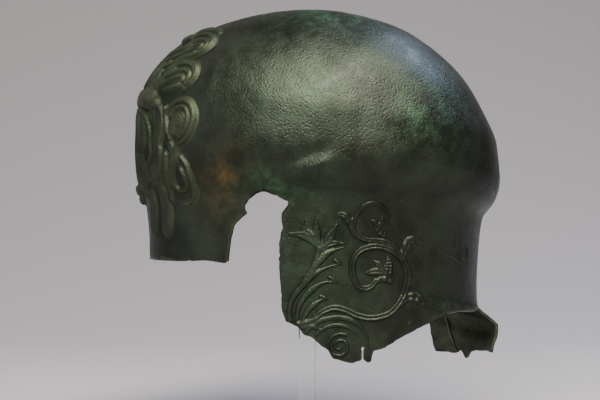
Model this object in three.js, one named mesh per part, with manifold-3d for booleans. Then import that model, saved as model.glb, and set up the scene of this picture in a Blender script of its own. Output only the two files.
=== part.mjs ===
/**
 * An ancient bronze helmet, broken along its lower rim, held on a clear post stand.
 *
 * Frame, in millimetres: X to the helmet's left, Y to its back, Z up. The origin is the centre of the
 * base's underside. Angles around the helmet ("turn") start at the front and run over the left side.
 */
import * as THREE from 'three';
import { mergeVertices } from 'three/addons/utils/BufferGeometryUtils.js';
import Module from 'manifold-3d';

const wasm = await Module();
wasm.setup();

// Driving dimensions of the helmet
const WALL = 2;
const SEAT_GAP = 0.3;
const SECTION_TILT = 0.157;
const FRONT_POWER = 2.1;
const BACK_POWER = 2.3;

// The seam under the bowl rises behind the ears before it drops to the nape
const NAPE_RISE = { height: 7, centre: 65, span: 42, fadeTop: 240, fadeDepth: 50 };

// One row per section, crown to rim: level, furthest front and back, half width, and widest place
const SECTIONS = [
  { name: 'apex', level: 295.6, front: 17, back: 17, half: 0, centre: 17 },
  { name: 'crown', level: 291, front: -15, back: 53, half: 36, centre: 17 },
  { name: 'upper_dome', level: 282, front: -45, back: 75, half: 56, centre: 18 },
  { name: 'dome', level: 265, front: -78, back: 97, half: 76, centre: 20 },
  { name: 'shoulder', level: 245, front: -100, back: 112, half: 88.5, centre: 22 },
  { name: 'bulge_top', level: 220, front: -115.5, back: 123, half: 96, centre: 24 },
  { name: 'bulge', level: 197, front: -120.5, back: 125, half: 98, centre: 25 },
  { name: 'bulge_foot', level: 182, front: -121, back: 121.5, half: 96, centre: 24 },
  { name: 'lip', level: 174.5, front: -120.8, back: 117.5, half: 92.5, centre: 22 },
  { name: 'seam', level: 169.5, front: -120.4, back: 113.4, half: 85.5, centre: 20 },
  { name: 'neck_top', level: 164, front: -120, back: 112.5, half: 83.5, centre: 19 },
  { name: 'neck', level: 145, front: -115.5, back: 110.5, half: 81.8, centre: 16 },
  { name: 'neck_low', level: 125, front: -113.5, back: 109.8, half: 80.8, centre: 15 },
  { name: 'flare_root', level: 109, front: -113, back: 110.5, half: 80, centre: 15 },
  { name: 'flare_top', level: 103, front: -113, back: 118.5, half: 79.6, centre: 15 },
  { name: 'flare', level: 98, front: -113, back: 124.7, half: 79.5, centre: 15 },
  { name: 'flare_low', level: 91, front: -113, back: 124.2, half: 79.3, centre: 15 },
  { name: 'flare_edge', level: 83, front: -113, back: 121.5, half: 79, centre: 15 },
  { name: 'below_rim', level: 48, front: -113, back: 118, half: 78, centre: 15 },
];
const OUTER_ROWS = [0.4, 1, 1.6, 2.3, 3, 3.7, 4.4, 5.2, 6, 7, 7.6, 8, 9, 10, 11.5, 13, 14, 15, 16, 17, 18];
const INNER_ROWS = [0.2, 0.6, 1.3, 2.3, 3.4, 4.6, 6, 7, 8, 9, 11, 13, 14, 15, 17, 18];
const OUTER_TURNS = 48;
const INNER_TURNS = 32;
const RIM_OVERRUN = 6;

// Lower edge seen from the side. Both sides share the brow, the ear and the cheek, and the ear column says
// which way a corner moves where the right ear opening is wider.
const RIGHT_EAR_EXTRA = 4;
const SHARED_EDGE = [
  { name: 'brow_foot_front', y: -150, z: 125 },
  { name: 'brow_foot_mid', y: -74, z: 126.5 },
  { name: 'brow_foot_back', y: -59, z: 124.5, ear: -1 },
  { name: 'brow_edge_low', y: -57.5, z: 139.5, ear: -1 },
  { name: 'brow_edge', y: -55, z: 149.5, ear: -1 },
  { name: 'brow_tip', y: -46.5, z: 157, ear: -1 },
  { name: 'ear_notch', y: -49.5, z: 160, ear: -1 },
  { name: 'ear_front', y: -45.5, z: 166, ear: -1 },
  { name: 'ear_top', y: -35.5, z: 171 },
  { name: 'ear_back', y: -28, z: 168, ear: 1 },
  { name: 'ear_point', y: -19, z: 163.5, ear: 1 },
  { name: 'cheek_shoulder', y: -25.5, z: 155, ear: 1 },
  { name: 'cheek_bump', y: -24.5, z: 146, ear: 1 },
  { name: 'cheek_edge', y: -26.5, z: 125, ear: 1 },
  { name: 'cheek_low', y: -25, z: 95, ear: 1 },
  { name: 'cheek_corner', y: -22.5, z: 88, ear: 1 },
  { name: 'boss_step', y: -13, z: 84, ear: 1 },
  { name: 'boss_front', y: -6, z: 78.5 },
  { name: 'boss_low', y: 3.5, z: 71.5 },
  { name: 'boss_foot', y: 8, z: 64.5 },
  { name: 'boss_tip', y: 19.5, z: 61.5 },
  { name: 'pin_front', y: 25.5, z: 63 },
  { name: 'pin_slot', y: 26.5, z: 70 },
  { name: 'pin_back', y: 30, z: 62 },
  { name: 'boss_back', y: 32.5, z: 69 },
  { name: 'break_start', y: 39, z: 70 },
  { name: 'break_mid', y: 52, z: 78 },
  { name: 'break_back', y: 71, z: 87 },
];
const BROKEN_NAPE = [
  { name: 'nape_start', y: 81, z: 92.5 },
  { name: 'nape_mid', y: 92, z: 93.5 },
  { name: 'nape_end', y: 103, z: 92.5 },
  { name: 'nape_back', y: 150, z: 91 },
];
const FLARED_NAPE = [
  { name: 'flare_root', y: 83, z: 91 },
  { name: 'flare_side', y: 88, z: 76 },
  { name: 'flare_corner', y: 92, z: 57 },
  { name: 'flare_rim', y: 106, z: 58 },
  { name: 'flare_back', y: 120, z: 64 },
  { name: 'flare_beyond', y: 150, z: 66 },
];
const BREAK_PLANE = 8;
const CUT_REACH = 160;
const CUT_FLOOR = 20;
const LACE_HOLES = [{ name: 'front', y: -93, z: 130 }, { name: 'back', y: -69, z: 130 }];
const LACE_HOLE_RADIUS = 1;

// Raised scroll of the side panels, in side view. Rings turn from one bearing by a sweep, in degrees.
const RIDGE_ROOT = 1;
const SCROLL_STEP = 10;
const SCROLL_STEMS = [
  {
    name: 'main_stem', width: 4.6, height: 1.7, tip: 0.7,
    path: [[-3, 92.5], [8, 97], [22, 92], [38, 91], [50, 99], [55, 112], [52, 128]],
  },
  {
    name: 'link', width: 3.4, height: 1.4, tip: 0.8,
    path: [[52, 127], [46, 135], [38, 138.3], [30, 138.6]],
  },
  {
    name: 'blade_root', width: 7, height: 1.8, tip: 0.1,
    path: [[-20, 92], [-13, 110], [-5, 121], [13, 124]],
  },
  { name: 'blade_low', width: 5, height: 1.8, tip: 0.1, path: [[-16, 92], [-6, 99], [5, 102.5]] },
  { name: 'blade_mid', width: 5, height: 1.8, tip: 0.1, path: [[-15, 101], [-2, 112], [10, 113.5]] },
  { name: 'blade_high', width: 4.4, height: 1.8, tip: 0.1, path: [[-6, 120], [-1, 136], [14, 135.5]] },
  { name: 'leaf_front', width: 4, height: 1.7, tip: 0.1, path: [[0, 137], [-9, 142], [-18.5, 143]] },
  { name: 'leaf_up', width: 4, height: 1.7, tip: 0.1, path: [[0, 137], [-6, 144], [-11, 149]] },
  { name: 'leaf_top', width: 4, height: 1.7, tip: 0.1, path: [[0, 137], [-1, 144], [-2.5, 151.5]] },
  { name: 'leaf_back', width: 4, height: 1.7, tip: 0.1, path: [[0, 137], [4, 142], [8, 148]] },
  {
    name: 'sheath_top', width: 3.6, height: 1.6, tip: 0.3,
    path: [[21, 146], [17, 154.5], [12.5, 157.5], [9, 154.5]],
  },
  {
    name: 'sheath_back', width: 3.8, height: 1.6, tip: 0.3,
    path: [[52.5, 127], [54, 136], [57.5, 141], [63, 139]],
  },
  {
    name: 'sheath_low', width: 3.8, height: 1.6, tip: 0.3,
    path: [[51, 100], [57, 104], [64, 103], [66, 96]],
  },
  { name: 'flower_high', width: 4.5, height: 1.6, tip: 0.2, path: [[29, 139], [35, 149], [43, 141]] },
  { name: 'flower_low', width: 6, height: 1.8, tip: 0.2, path: [[36, 110.5], [41, 119], [40, 129]] },
];
const SCROLL_RINGS = [
  {
    name: 'ring_low', width: 4, height: 1.7, steps: 9,
    y: 35, z: 122.5, from: 20, sweep: 255, radius: 16.5, end: 12,
  },
  {
    name: 'ring_high', width: 3.6, height: 1.5, steps: 9,
    y: 32, z: 151, from: 265, sweep: -235, radius: 12.4, end: 11,
  },
  {
    name: 'boss_ring', width: 3.4, height: 2, steps: 11,
    y: 11.5, z: 73.5, from: 90, sweep: 560, radius: 8.6, end: 2.4,
  },
  {
    name: 'boss_arc', width: 3.6, height: 1.6, steps: 6,
    y: 11.5, z: 73, from: 165, sweep: -165, radius: 22, end: 17,
  },
];

// Curled locks on the front, in millimetres around the front from the middle and in height
const ARC_RADIUS = 107;
const LOCK_LIFT = 1.1;
const LOCK_STEP = 12;
const LOCK_PLATE = { thickness: 1, columns: 14 };
const LOCK_REACH = [
  { name: 'crown_edge', z: 277, half: 40 },
  { name: 'crown_lock', z: 266, half: 72 },
  { name: 'parting', z: 255, half: 71 },
  { name: 'second_lock', z: 245, half: 78 },
  { name: 'bud', z: 233, half: 76 },
  { name: 'curl_top', z: 226, half: 82 },
  { name: 'curl', z: 215, half: 87 },
  { name: 'curl_foot', z: 204, half: 83 },
  { name: 'waist', z: 196, half: 70 },
  { name: 'ring_top', z: 187, half: 80 },
  { name: 'ring', z: 176, half: 87 },
  { name: 'ring_foot', z: 163, half: 78 },
  { name: 'droop_root', z: 157, half: 62 },
];
const LOCKS = [
  {
    name: 'crown_lock', width: 10, height: 3.2, tip: 0.5,
    path: [[3, 272], [26, 271], [48, 271], [64, 271], [70, 265], [63, 260.5], [57, 264]],
  },
  {
    name: 'second_lock', width: 11, height: 3.2, tip: 0.4,
    path: [[3, 244], [22, 248], [44, 253], [66, 251], [74, 244], [67, 238.5], [61, 243]],
  },
  { name: 'bud', width: 10, height: 3.6, tip: 0.7, path: [[3, 232], [20, 232.5], [36, 231], [46, 227]] },
  {
    name: 'tendril', width: 15, height: 2.8, tip: 0.5,
    path: [[36, 224], [50, 213], [48, 202], [44, 190], [44, 174]],
  },
  { name: 'front_lock', width: 11, height: 3, tip: 0.4, path: [[10, 222], [17, 208], [16, 194]] },
  { name: 'front_foot', width: 10, height: 3, tip: 0.4, path: [[16, 190], [12, 178], [9, 168]] },
  { name: 'small_lobe', width: 9, height: 2.6, tip: 0.4, path: [[58, 203], [65, 196], [69, 190]] },
  { name: 'droop_front', width: 11, height: 2.2, tip: 0.4, path: [[30, 166], [32, 152], [32, 140]] },
  { name: 'droop_back', width: 11, height: 2.2, tip: 0.4, path: [[52, 166], [51, 152], [49, 141]] },
];
const LOCK_RINGS = [
  {
    name: 'big_curl', width: 6, height: 3.2, steps: 13,
    y: 71, z: 214.5, from: 200, sweep: -560, radius: 12.5, end: 2.5,
  },
  {
    name: 'low_curl', width: 5, height: 2.8, steps: 11,
    y: 76.5, z: 175, from: 150, sweep: -470, radius: 8.6, end: 2.5,
  },
];
const MIDDLE_RIB = {
  name: 'middle_rib', width: 11, height: 3.4, tip: 0.6,
  path: [[0, 273], [0, 240], [0, 200], [0, 166]],
};

// Clear stand
const BASE = { width: 140, depth: 140, height: 12, corner: 10, bevel: 0.8, socket: 4 };
const POST = { side: 12, y: -5.5 };
const PAD = { gap: 0.5, radius: 17, height: 10, domeRise: 1.3, socket: 5, segments: 24, rings: 4 };

const X_AXIS = new THREE.Vector3(1, 0, 0);
const Y_AXIS = new THREE.Vector3(0, 1, 0);
const Z_AXIS = new THREE.Vector3(0, 0, 1);

/** Slopes of a cubic through evenly spaced values that never overshoots them. */
function gentleSlopes(values) {
  return values.map((value, i) => {
    if (i === 0) return values[1] - value;
    if (i === values.length - 1) return value - values[i - 1];
    const before = value - values[i - 1];
    const after = values[i + 1] - value;
    return before * after > 0 ? (2 * before * after) / (before + after) : 0;
  });
}

const COLUMNS = ['level', 'front', 'back', 'half', 'centre'].map((name) => {
  const values = SECTIONS.map((section) => section[name]);
  return { name, values, slopes: gentleSlopes(values) };
});

/** The section at a fractional row of the table. */
function sectionAt(row) {
  const i = Math.min(Math.max(Math.floor(row), 0), SECTIONS.length - 2);
  const t = row - i;
  const section = {};
  for (const { name, values, slopes } of COLUMNS) {
    section[name] = (1 + 2 * t) * (1 - t) ** 2 * values[i] + t * (1 - t) ** 2 * slopes[i]
      + t * t * (3 - 2 * t) * values[i + 1] + t * t * (t - 1) * slopes[i + 1];
  }
  return section;
}

/** The row whose section has the given level, by halving. */
function rowAtLevel(level) {
  let low = 0;
  let high = SECTIONS.length - 1;
  for (let i = 0; i < 30; i += 1) {
    const middle = (low + high) / 2;
    if (sectionAt(middle).level > level) low = middle;
    else high = middle;
  }
  return (low + high) / 2;
}

/** Height added to the tilted sections behind the ears. */
function napeRise(y, level) {
  const fade = THREE.MathUtils.smoothstep(NAPE_RISE.fadeTop - level, 0, NAPE_RISE.fadeDepth);
  return NAPE_RISE.height * Math.exp(-(((y - NAPE_RISE.centre) / NAPE_RISE.span) ** 2)) * fade;
}

/** Level of the tilted section through a place in side view. */
function levelAt(y, z) {
  let level = z + SECTION_TILT * y;
  for (let i = 0; i < 5; i += 1) level = z + SECTION_TILT * y - napeRise(y, level);
  return level;
}

/** Point of the outer surface at a turn in radians and a row. */
function surfacePoint(turn, row) {
  const { level, front, back, half, centre } = sectionAt(row);
  const along = Math.cos(turn);
  const across = Math.sin(turn);
  const power = 2 / (along > 0 ? FRONT_POWER : BACK_POWER);
  const reach = along > 0 ? front - centre : back - centre;
  const y = centre + reach * Math.abs(along) ** power;
  const x = half * Math.sign(across) * Math.abs(across) ** power;
  return new THREE.Vector3(x, y, level - SECTION_TILT * y + napeRise(y, level));
}

/** Outward direction of the surface, from two short steps. */
function surfaceNormal(turn, row) {
  const step = 0.02;
  const around = surfacePoint(turn + step, row).sub(surfacePoint(turn - step, row));
  const below = Math.min(row + step, SECTIONS.length - 1);
  const down = surfacePoint(turn, below).sub(surfacePoint(turn, row - step));
  return down.cross(around).normalize();
}

/** Surface point moved outwards by a lift. */
function lifted(turn, row, lift) {
  return surfacePoint(turn, row).addScaledVector(surfaceNormal(turn, row), lift);
}

/** Place and outward direction on one side panel, from side view. */
function sidePlace(y, z, side) {
  const row = rowAtLevel(levelAt(y, z));
  const { front, back, centre } = sectionAt(row);
  const ahead = y < centre;
  const share = Math.min((y - centre) / ((ahead ? front : back) - centre), 1);
  const along = share ** ((ahead ? FRONT_POWER : BACK_POWER) / 2);
  const turn = side * Math.acos(ahead ? along : -along);
  return { point: surfacePoint(turn, row), normal: surfaceNormal(turn, row) };
}

/** Place and outward direction on the front, from the distance around it and the height. */
function frontPlace(around, z) {
  const turn = around / ARC_RADIUS;
  let row = rowAtLevel(levelAt(0, z));
  for (let i = 0; i < 6; i += 1) row = rowAtLevel(levelAt(surfacePoint(turn, row).y, z));
  return { point: surfacePoint(turn, row), normal: surfaceNormal(turn, row) };
}

/** Closed solid from points and triangle corners. */
function solidFrom(points, corners) {
  const vertProperties = new Float32Array(points.flatMap((point) => point.toArray()));
  const triVerts = new Uint32Array(corners);
  return new wasm.Manifold(new wasm.Mesh({ numProp: 3, vertProperties, triVerts }));
}

/** Closed solid of a three.js geometry whose faces meet edge to edge. */
function solidOf(geometry) {
  const bare = new THREE.BufferGeometry();
  bare.setAttribute('position', geometry.getAttribute('position'));
  if (geometry.index) bare.setIndex(geometry.index);
  const welded = mergeVertices(bare, 1e-4);
  const vertProperties = new Float32Array(welded.getAttribute('position').array);
  const triVerts = new Uint32Array(welded.index.array);
  return new wasm.Manifold(new wasm.Mesh({ numProp: 3, vertProperties, triVerts }));
}

/** Filled helmet form: rings of the surface under one apex, closed flat below. */
function filledForm(rows, turns, lift, overrun) {
  const apex = surfacePoint(0, 0).addScaledVector(Z_AXIS, lift);
  const bearings = Array.from({ length: turns }, (_, i) => (2 * Math.PI * i) / turns);
  const rings = rows.map((row) => bearings.map((bearing) => lifted(bearing, row, lift)));
  rings.at(-1).forEach((point) => point.addScaledVector(Z_AXIS, -overrun));
  const foot = rings.at(-1).reduce((sum, point) => sum.add(point), new THREE.Vector3()).divideScalar(turns);
  const points = [apex, ...rings.flat(), foot];
  const corners = [];
  for (let i = 0; i < turns; i += 1) {
    const next = (i + 1) % turns;
    corners.push(0, 1 + i, 1 + next);
    for (let r = 0; r + 1 < rows.length; r += 1) {
      const [a, b] = [1 + r * turns + i, 1 + r * turns + next];
      corners.push(a, a + turns, b, b, a + turns, b + turns);
    }
    const last = 1 + (rows.length - 1) * turns;
    corners.push(points.length - 1, last + next, last + i);
  }
  return solidFrom(points, corners);
}

/** Block that takes away everything below a side-view edge, between two X planes. */
function belowEdge(edge, fromX, toX) {
  const shape = new THREE.Shape(edge.map(({ y, z }) => new THREE.Vector2(y, z)));
  shape.lineTo(edge.at(-1).y, CUT_FLOOR);
  shape.lineTo(edge[0].y, CUT_FLOOR);
  const block = new THREE.ExtrudeGeometry(shape, { depth: toX - fromX, bevelEnabled: false });
  block.applyMatrix4(new THREE.Matrix4().makeBasis(Y_AXIS, Z_AXIS, X_AXIS));
  return solidOf(block.translate(fromX, 0, 0));
}

/** Lace hole drilled straight through the wall of one side. */
function laceHole({ y, z }, side) {
  const { point, normal } = sidePlace(y, z, side);
  const drill = new THREE.CylinderGeometry(LACE_HOLE_RADIUS, LACE_HOLE_RADIUS, 4 * WALL, 8);
  drill.applyQuaternion(new THREE.Quaternion().setFromUnitVectors(Y_AXIS, normal));
  return solidOf(drill.translate(point.x, point.y, point.z));
}

/** Rounded ridge carried along places on the surface, its foot sunk by the root depth. */
function ridge(places, { width, height, tip }, root) {
  const profile = [[-0.5, 0, 1], [-0.24, 1, 0], [0.24, 1, 0], [0.5, 0, 1]];
  const points = [];
  places.forEach(({ point, normal }, i) => {
    const ahead = places[Math.min(i + 1, places.length - 1)].point;
    const behind = places[Math.max(i - 1, 0)].point;
    const across = new THREE.Vector3().subVectors(ahead, behind).cross(normal).normalize();
    const size = THREE.MathUtils.lerp(1, tip, (i / (places.length - 1)) ** 2);
    for (const [side, rise, sunk] of profile) {
      points.push(point.clone().addScaledVector(across, side * width * size)
        .addScaledVector(normal, rise * height * (0.4 + 0.6 * size) - sunk * root));
    }
  });
  const ring = profile.length;
  const corners = [];
  for (let k = 0; k < ring; k += 1) {
    const next = (k + 1) % ring;
    for (let i = 0; i + 1 < places.length; i += 1) {
      const [a, b] = [i * ring + k, i * ring + next];
      corners.push(a, b, a + ring, b, b + ring, a + ring);
    }
  }
  const last = (places.length - 1) * ring;
  for (let k = 1; k + 1 < ring; k += 1) corners.push(0, k + 1, k, last, last + k, last + k + 1);
  return solidFrom(points, corners);
}

/** Evenly spaced places along a smooth path of flat coordinates. */
function pathPlaces(path, spacing, place) {
  const curve = new THREE.SplineCurve(path.map(([a, b]) => new THREE.Vector2(a, b)));
  const steps = Math.max(3, Math.round(curve.getLength() / spacing));
  return curve.getSpacedPoints(steps).map((flat) => place(flat.x, flat.y));
}

/** Places along a ring whose radius eases from its first to its end value. */
function ringPlaces({ y, z, from, sweep, radius, end, steps }, place) {
  return Array.from({ length: steps + 1 }, (_, i) => {
    const share = i / steps;
    const angle = THREE.MathUtils.degToRad(from + sweep * share);
    const reach = THREE.MathUtils.lerp(radius, end, share);
    return place(y + reach * Math.cos(angle), z + reach * Math.sin(angle));
  });
}

/** All raised scroll ridges of one side panel. */
function sideScroll(side) {
  const place = (y, z) => sidePlace(y, z, side);
  const stems = SCROLL_STEMS.map((stem) => {
    const places = pathPlaces(stem.path, SCROLL_STEP, place);
    return ridge(places, stem, RIDGE_ROOT);
  });
  const rings = SCROLL_RINGS.map((ring) => ridge(ringPlaces(ring, place), { ...ring, tip: 0.8 }, RIDGE_ROOT));
  return [...stems, ...rings];
}

/** Bronze sheet with its scrolls, lace holes and broken edges. */
function helmetShell() {
  let shell = filledForm(OUTER_ROWS, OUTER_TURNS, 0, 0);
  shell = shell.subtract(filledForm(INNER_ROWS, INNER_TURNS, -WALL, RIM_OVERRUN));
  for (const side of [1, -1]) {
    for (const raised of sideScroll(side)) shell = shell.add(raised);
    for (const hole of LACE_HOLES) shell = shell.subtract(laceHole(hole, side));
  }
  shell = shell.subtract(belowEdge([...SHARED_EDGE, ...BROKEN_NAPE], BREAK_PLANE, CUT_REACH));
  const rightEdge = SHARED_EDGE.map(({ y, z, ear = 0 }) => ({ y: y + RIGHT_EAR_EXTRA * ear, z }));
  return shell.subtract(belowEdge([...rightEdge, ...FLARED_NAPE], -CUT_REACH, BREAK_PLANE));
}

/** Thin sheet behind the locks, a row of the reach table at a time, both faces lifted off the bowl. */
function lockSheet() {
  const { thickness, columns } = LOCK_PLATE;
  const grid = (lift) => LOCK_REACH.flatMap(({ z, half }) => Array.from({ length: columns + 1 }, (_, i) => {
    const { point, normal } = frontPlace(half * ((2 * i) / columns - 1), z);
    return point.addScaledVector(normal, lift);
  }));
  const points = [...grid(SEAT_GAP + thickness), ...grid(-thickness)];
  const stride = columns + 1;
  const under = LOCK_REACH.length * stride;
  const corners = [];
  const quad = (a, b, c, d) => corners.push(a, b, c, a, c, d);
  for (let r = 0; r + 1 < LOCK_REACH.length; r += 1) {
    for (let i = 0; i < columns; i += 1) {
      const a = r * stride + i;
      quad(a, a + stride, a + stride + 1, a + 1);
      quad(under + a, under + a + 1, under + a + stride + 1, under + a + stride);
    }
    const [left, right] = [r * stride, r * stride + columns];
    quad(left, under + left, under + left + stride, left + stride);
    quad(right, right + stride, under + right + stride, under + right);
  }
  for (let i = 0; i < columns; i += 1) {
    const low = (LOCK_REACH.length - 1) * stride + i;
    quad(i, i + 1, under + i + 1, under + i);
    quad(low, under + low, under + low + 1, low + 1);
  }
  return solidFrom(points, corners);
}

/** Curled locks of the front on their sheet, hollowed to sit just off the bowl. */
function browApplique() {
  const rootDepth = LOCK_LIFT + 1;
  const place = (side) => (around, z) => {
    const { point, normal } = frontPlace(side * around, z);
    return { point: point.addScaledVector(normal, LOCK_LIFT), normal };
  };
  let locks = lockSheet().add(ridge(pathPlaces(MIDDLE_RIB.path, LOCK_STEP, place(1)), MIDDLE_RIB, rootDepth));
  for (const side of [1, -1]) {
    for (const lock of LOCKS) {
      locks = locks.add(ridge(pathPlaces(lock.path, LOCK_STEP, place(side)), lock, rootDepth));
    }
    for (const ring of LOCK_RINGS) {
      locks = locks.add(ridge(ringPlaces(ring, place(side)), { ...ring, tip: 0.7 }, rootDepth));
    }
  }
  return locks.subtract(filledForm(OUTER_ROWS, OUTER_TURNS, SEAT_GAP, 0));
}

/** Block with square walls, centred on the post. */
function postBlock(side, fromZ, toZ) {
  const block = new THREE.BoxGeometry(side, side, toZ - fromZ);
  return solidOf(block.translate(0, POST.y, (fromZ + toZ) / 2));
}

/** Height of the outer surface over a place on the middle plane, stepping down from the apex to the front. */
function crownHeight(y) {
  let row = 0;
  while (surfacePoint(0, row).y > y) row += 0.005;
  return surfacePoint(0, row).z;
}

const PAD_TOP = crownHeight(POST.y) - WALL - PAD.gap;
const PAD_FOOT = PAD_TOP - PAD.height;

/** Round pad with a low dome, socketed on the post. */
function standPad() {
  const rim = Array.from({ length: PAD.rings }, (_, i) => {
    const share = (i + 1) / PAD.rings;
    return new THREE.Vector2(PAD.radius * share, PAD_TOP - PAD.domeRise * share ** 2);
  });
  const foot = [new THREE.Vector2(0, PAD_FOOT), new THREE.Vector2(PAD.radius, PAD_FOOT)];
  const profile = [...foot, ...rim.toReversed(), new THREE.Vector2(0, PAD_TOP)];
  const turned = new THREE.LatheGeometry(profile, PAD.segments);
  turned.applyMatrix4(new THREE.Matrix4().makeBasis(X_AXIS, Z_AXIS, Y_AXIS.clone().negate()));
  const solid = solidOf(turned.translate(0, POST.y, 0));
  return solid.subtract(postBlock(POST.side + 2 * SEAT_GAP, PAD_FOOT - 1, PAD_FOOT + PAD.socket));
}

/** Clear bar from the base's socket to the pad's socket. */
function standPost() {
  return postBlock(POST.side, BASE.height - BASE.socket + SEAT_GAP, PAD_FOOT + PAD.socket - SEAT_GAP);
}

/** Plate with round corners and a square socket for the post. */
function standBase() {
  const { width, depth, height, corner, bevel, socket } = BASE;
  const [halfX, halfY] = [width / 2 - bevel, depth / 2 - bevel];
  const outline = new THREE.Shape();
  const turns = [[1, 1, 0], [-1, 1, 1], [-1, -1, 2], [1, -1, 3]];
  for (const [sx, sy, quarter] of turns) {
    const start = (quarter * Math.PI) / 2;
    outline.absarc(sx * (halfX - corner), sy * (halfY - corner), corner, start, start + Math.PI / 2);
  }
  const plate = new THREE.ExtrudeGeometry(outline, {
    depth: height - 2 * bevel, bevelThickness: bevel, bevelSize: bevel, bevelSegments: 1, curveSegments: 4,
  });
  const solid = solidOf(plate.translate(0, 0, bevel));
  return solid.subtract(postBlock(POST.side + 2 * SEAT_GAP, height - socket, height + 1));
}

/** Named mesh of a solid with its material. */
function part(name, solid, material) {
  const { vertProperties, triVerts } = solid.getMesh();
  const geometry = new THREE.BufferGeometry();
  geometry.setAttribute('position', new THREE.BufferAttribute(new Float32Array(vertProperties), 3));
  geometry.setIndex(new THREE.BufferAttribute(new Uint32Array(triVerts), 1));
  geometry.computeVertexNormals();
  const mesh = new THREE.Mesh(geometry, material);
  mesh.name = name;
  return mesh;
}

const bronze = new THREE.MeshStandardMaterial({ color: 0x41483a, roughness: 0.45, metalness: 0.75 });
const lockBronze = new THREE.MeshStandardMaterial({ color: 0x3d4337, roughness: 0.5, metalness: 0.7 });
const acrylic = new THREE.MeshStandardMaterial({
  color: 0xdfe4e4, roughness: 0.08, metalness: 0, transparent: true, opacity: 0.35,
});

const helmet = new THREE.Group();
helmet.name = 'helmet';
helmet.add(part('helmet_shell', helmetShell(), bronze), part('brow_applique', browApplique(), lockBronze));

const stand = new THREE.Group();
stand.name = 'stand';
stand.add(part('stand_base', standBase(), acrylic));
stand.add(part('stand_post', standPost(), acrylic));
stand.add(part('stand_pad', standPad(), acrylic));

const model = new THREE.Group();
model.name = 'helmet_on_stand';
model.add(helmet, stand);

export default model;
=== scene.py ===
"""Dressed model of an ancient bronze helmet, broken along its rim, on a clear post stand.

Sizes are in millimetres and turn into metres where a mesh is made. X runs to the helmet's left,
Y to its back and Z up, from the middle of the base's underside.
"""

import logging
import math
from collections.abc import Callable
from dataclasses import dataclass
from enum import Enum
from functools import partial
from typing import NamedTuple

import bpy
import numpy as np
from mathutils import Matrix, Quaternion, Vector


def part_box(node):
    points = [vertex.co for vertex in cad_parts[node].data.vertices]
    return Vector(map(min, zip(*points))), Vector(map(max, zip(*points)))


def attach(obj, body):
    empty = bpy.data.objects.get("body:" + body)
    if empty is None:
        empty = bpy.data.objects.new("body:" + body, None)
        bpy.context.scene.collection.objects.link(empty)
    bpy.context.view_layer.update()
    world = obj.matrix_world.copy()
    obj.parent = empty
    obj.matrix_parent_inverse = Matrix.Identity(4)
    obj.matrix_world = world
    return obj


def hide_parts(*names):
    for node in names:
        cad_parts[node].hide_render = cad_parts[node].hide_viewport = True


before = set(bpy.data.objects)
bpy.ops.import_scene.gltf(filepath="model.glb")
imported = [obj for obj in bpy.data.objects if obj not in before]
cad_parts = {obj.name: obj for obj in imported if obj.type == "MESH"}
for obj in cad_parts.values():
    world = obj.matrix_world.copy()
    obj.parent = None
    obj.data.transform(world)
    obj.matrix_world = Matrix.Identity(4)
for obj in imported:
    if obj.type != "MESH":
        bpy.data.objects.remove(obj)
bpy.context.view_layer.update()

MM = 0.001
BODY = "root"
Array = np.ndarray
FlatMap = Callable[[Array, Array], tuple[Array, Array]]
FlatDistance = Callable[[Array, Array], Array]
LOG = logging.getLogger("helmet")


class Section(NamedTuple):
    """One tilted section of the outer form: level, furthest front and back, half width, widest place."""

    name: str
    level: float
    front: float
    back: float
    half: float
    centre: float


class Corner(NamedTuple):
    """One corner of the lower edge in side view.

    Rough is the raggedness of the stretch that follows, and ear is the way the corner moves where the right
    ear opening is wider.
    """

    name: str
    y: float
    z: float
    rough: float
    ear: int


# The helmet's outer form, crown to rim
SECTIONS = tuple(map(Section._make, (
    ("apex", 295.6, 17.0, 17.0, 0.0, 17.0),
    ("crown", 291.0, -15.0, 53.0, 36.0, 17.0),
    ("upper dome", 282.0, -45.0, 75.0, 56.0, 18.0),
    ("dome", 265.0, -78.0, 97.0, 76.0, 20.0),
    ("shoulder", 245.0, -100.0, 112.0, 88.5, 22.0),
    ("bulge top", 220.0, -115.5, 123.0, 96.0, 24.0),
    ("bulge", 197.0, -120.5, 125.0, 98.0, 25.0),
    ("bulge foot", 182.0, -121.0, 121.5, 95.8, 24.0),
    ("lip", 175.5, -120.8, 117.8, 92.2, 22.0),
    ("seam", 169.0, -120.4, 113.8, 86.8, 20.0),
    ("neck top", 161.5, -119.6, 112.3, 83.7, 19.0),
    ("neck", 145.0, -115.5, 110.5, 81.8, 16.0),
    ("neck low", 125.0, -113.5, 109.8, 80.8, 15.0),
    ("flare root", 109.0, -113.0, 110.5, 80.0, 15.0),
    ("flare top", 103.0, -113.0, 118.5, 79.6, 15.0),
    ("flare", 98.0, -113.0, 124.7, 79.5, 15.0),
    ("flare low", 91.0, -113.0, 124.2, 79.3, 15.0),
    ("flare edge", 83.0, -113.0, 121.5, 79.0, 15.0),
    ("below rim", 48.0, -113.0, 118.0, 78.0, 15.0),
)))

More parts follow.
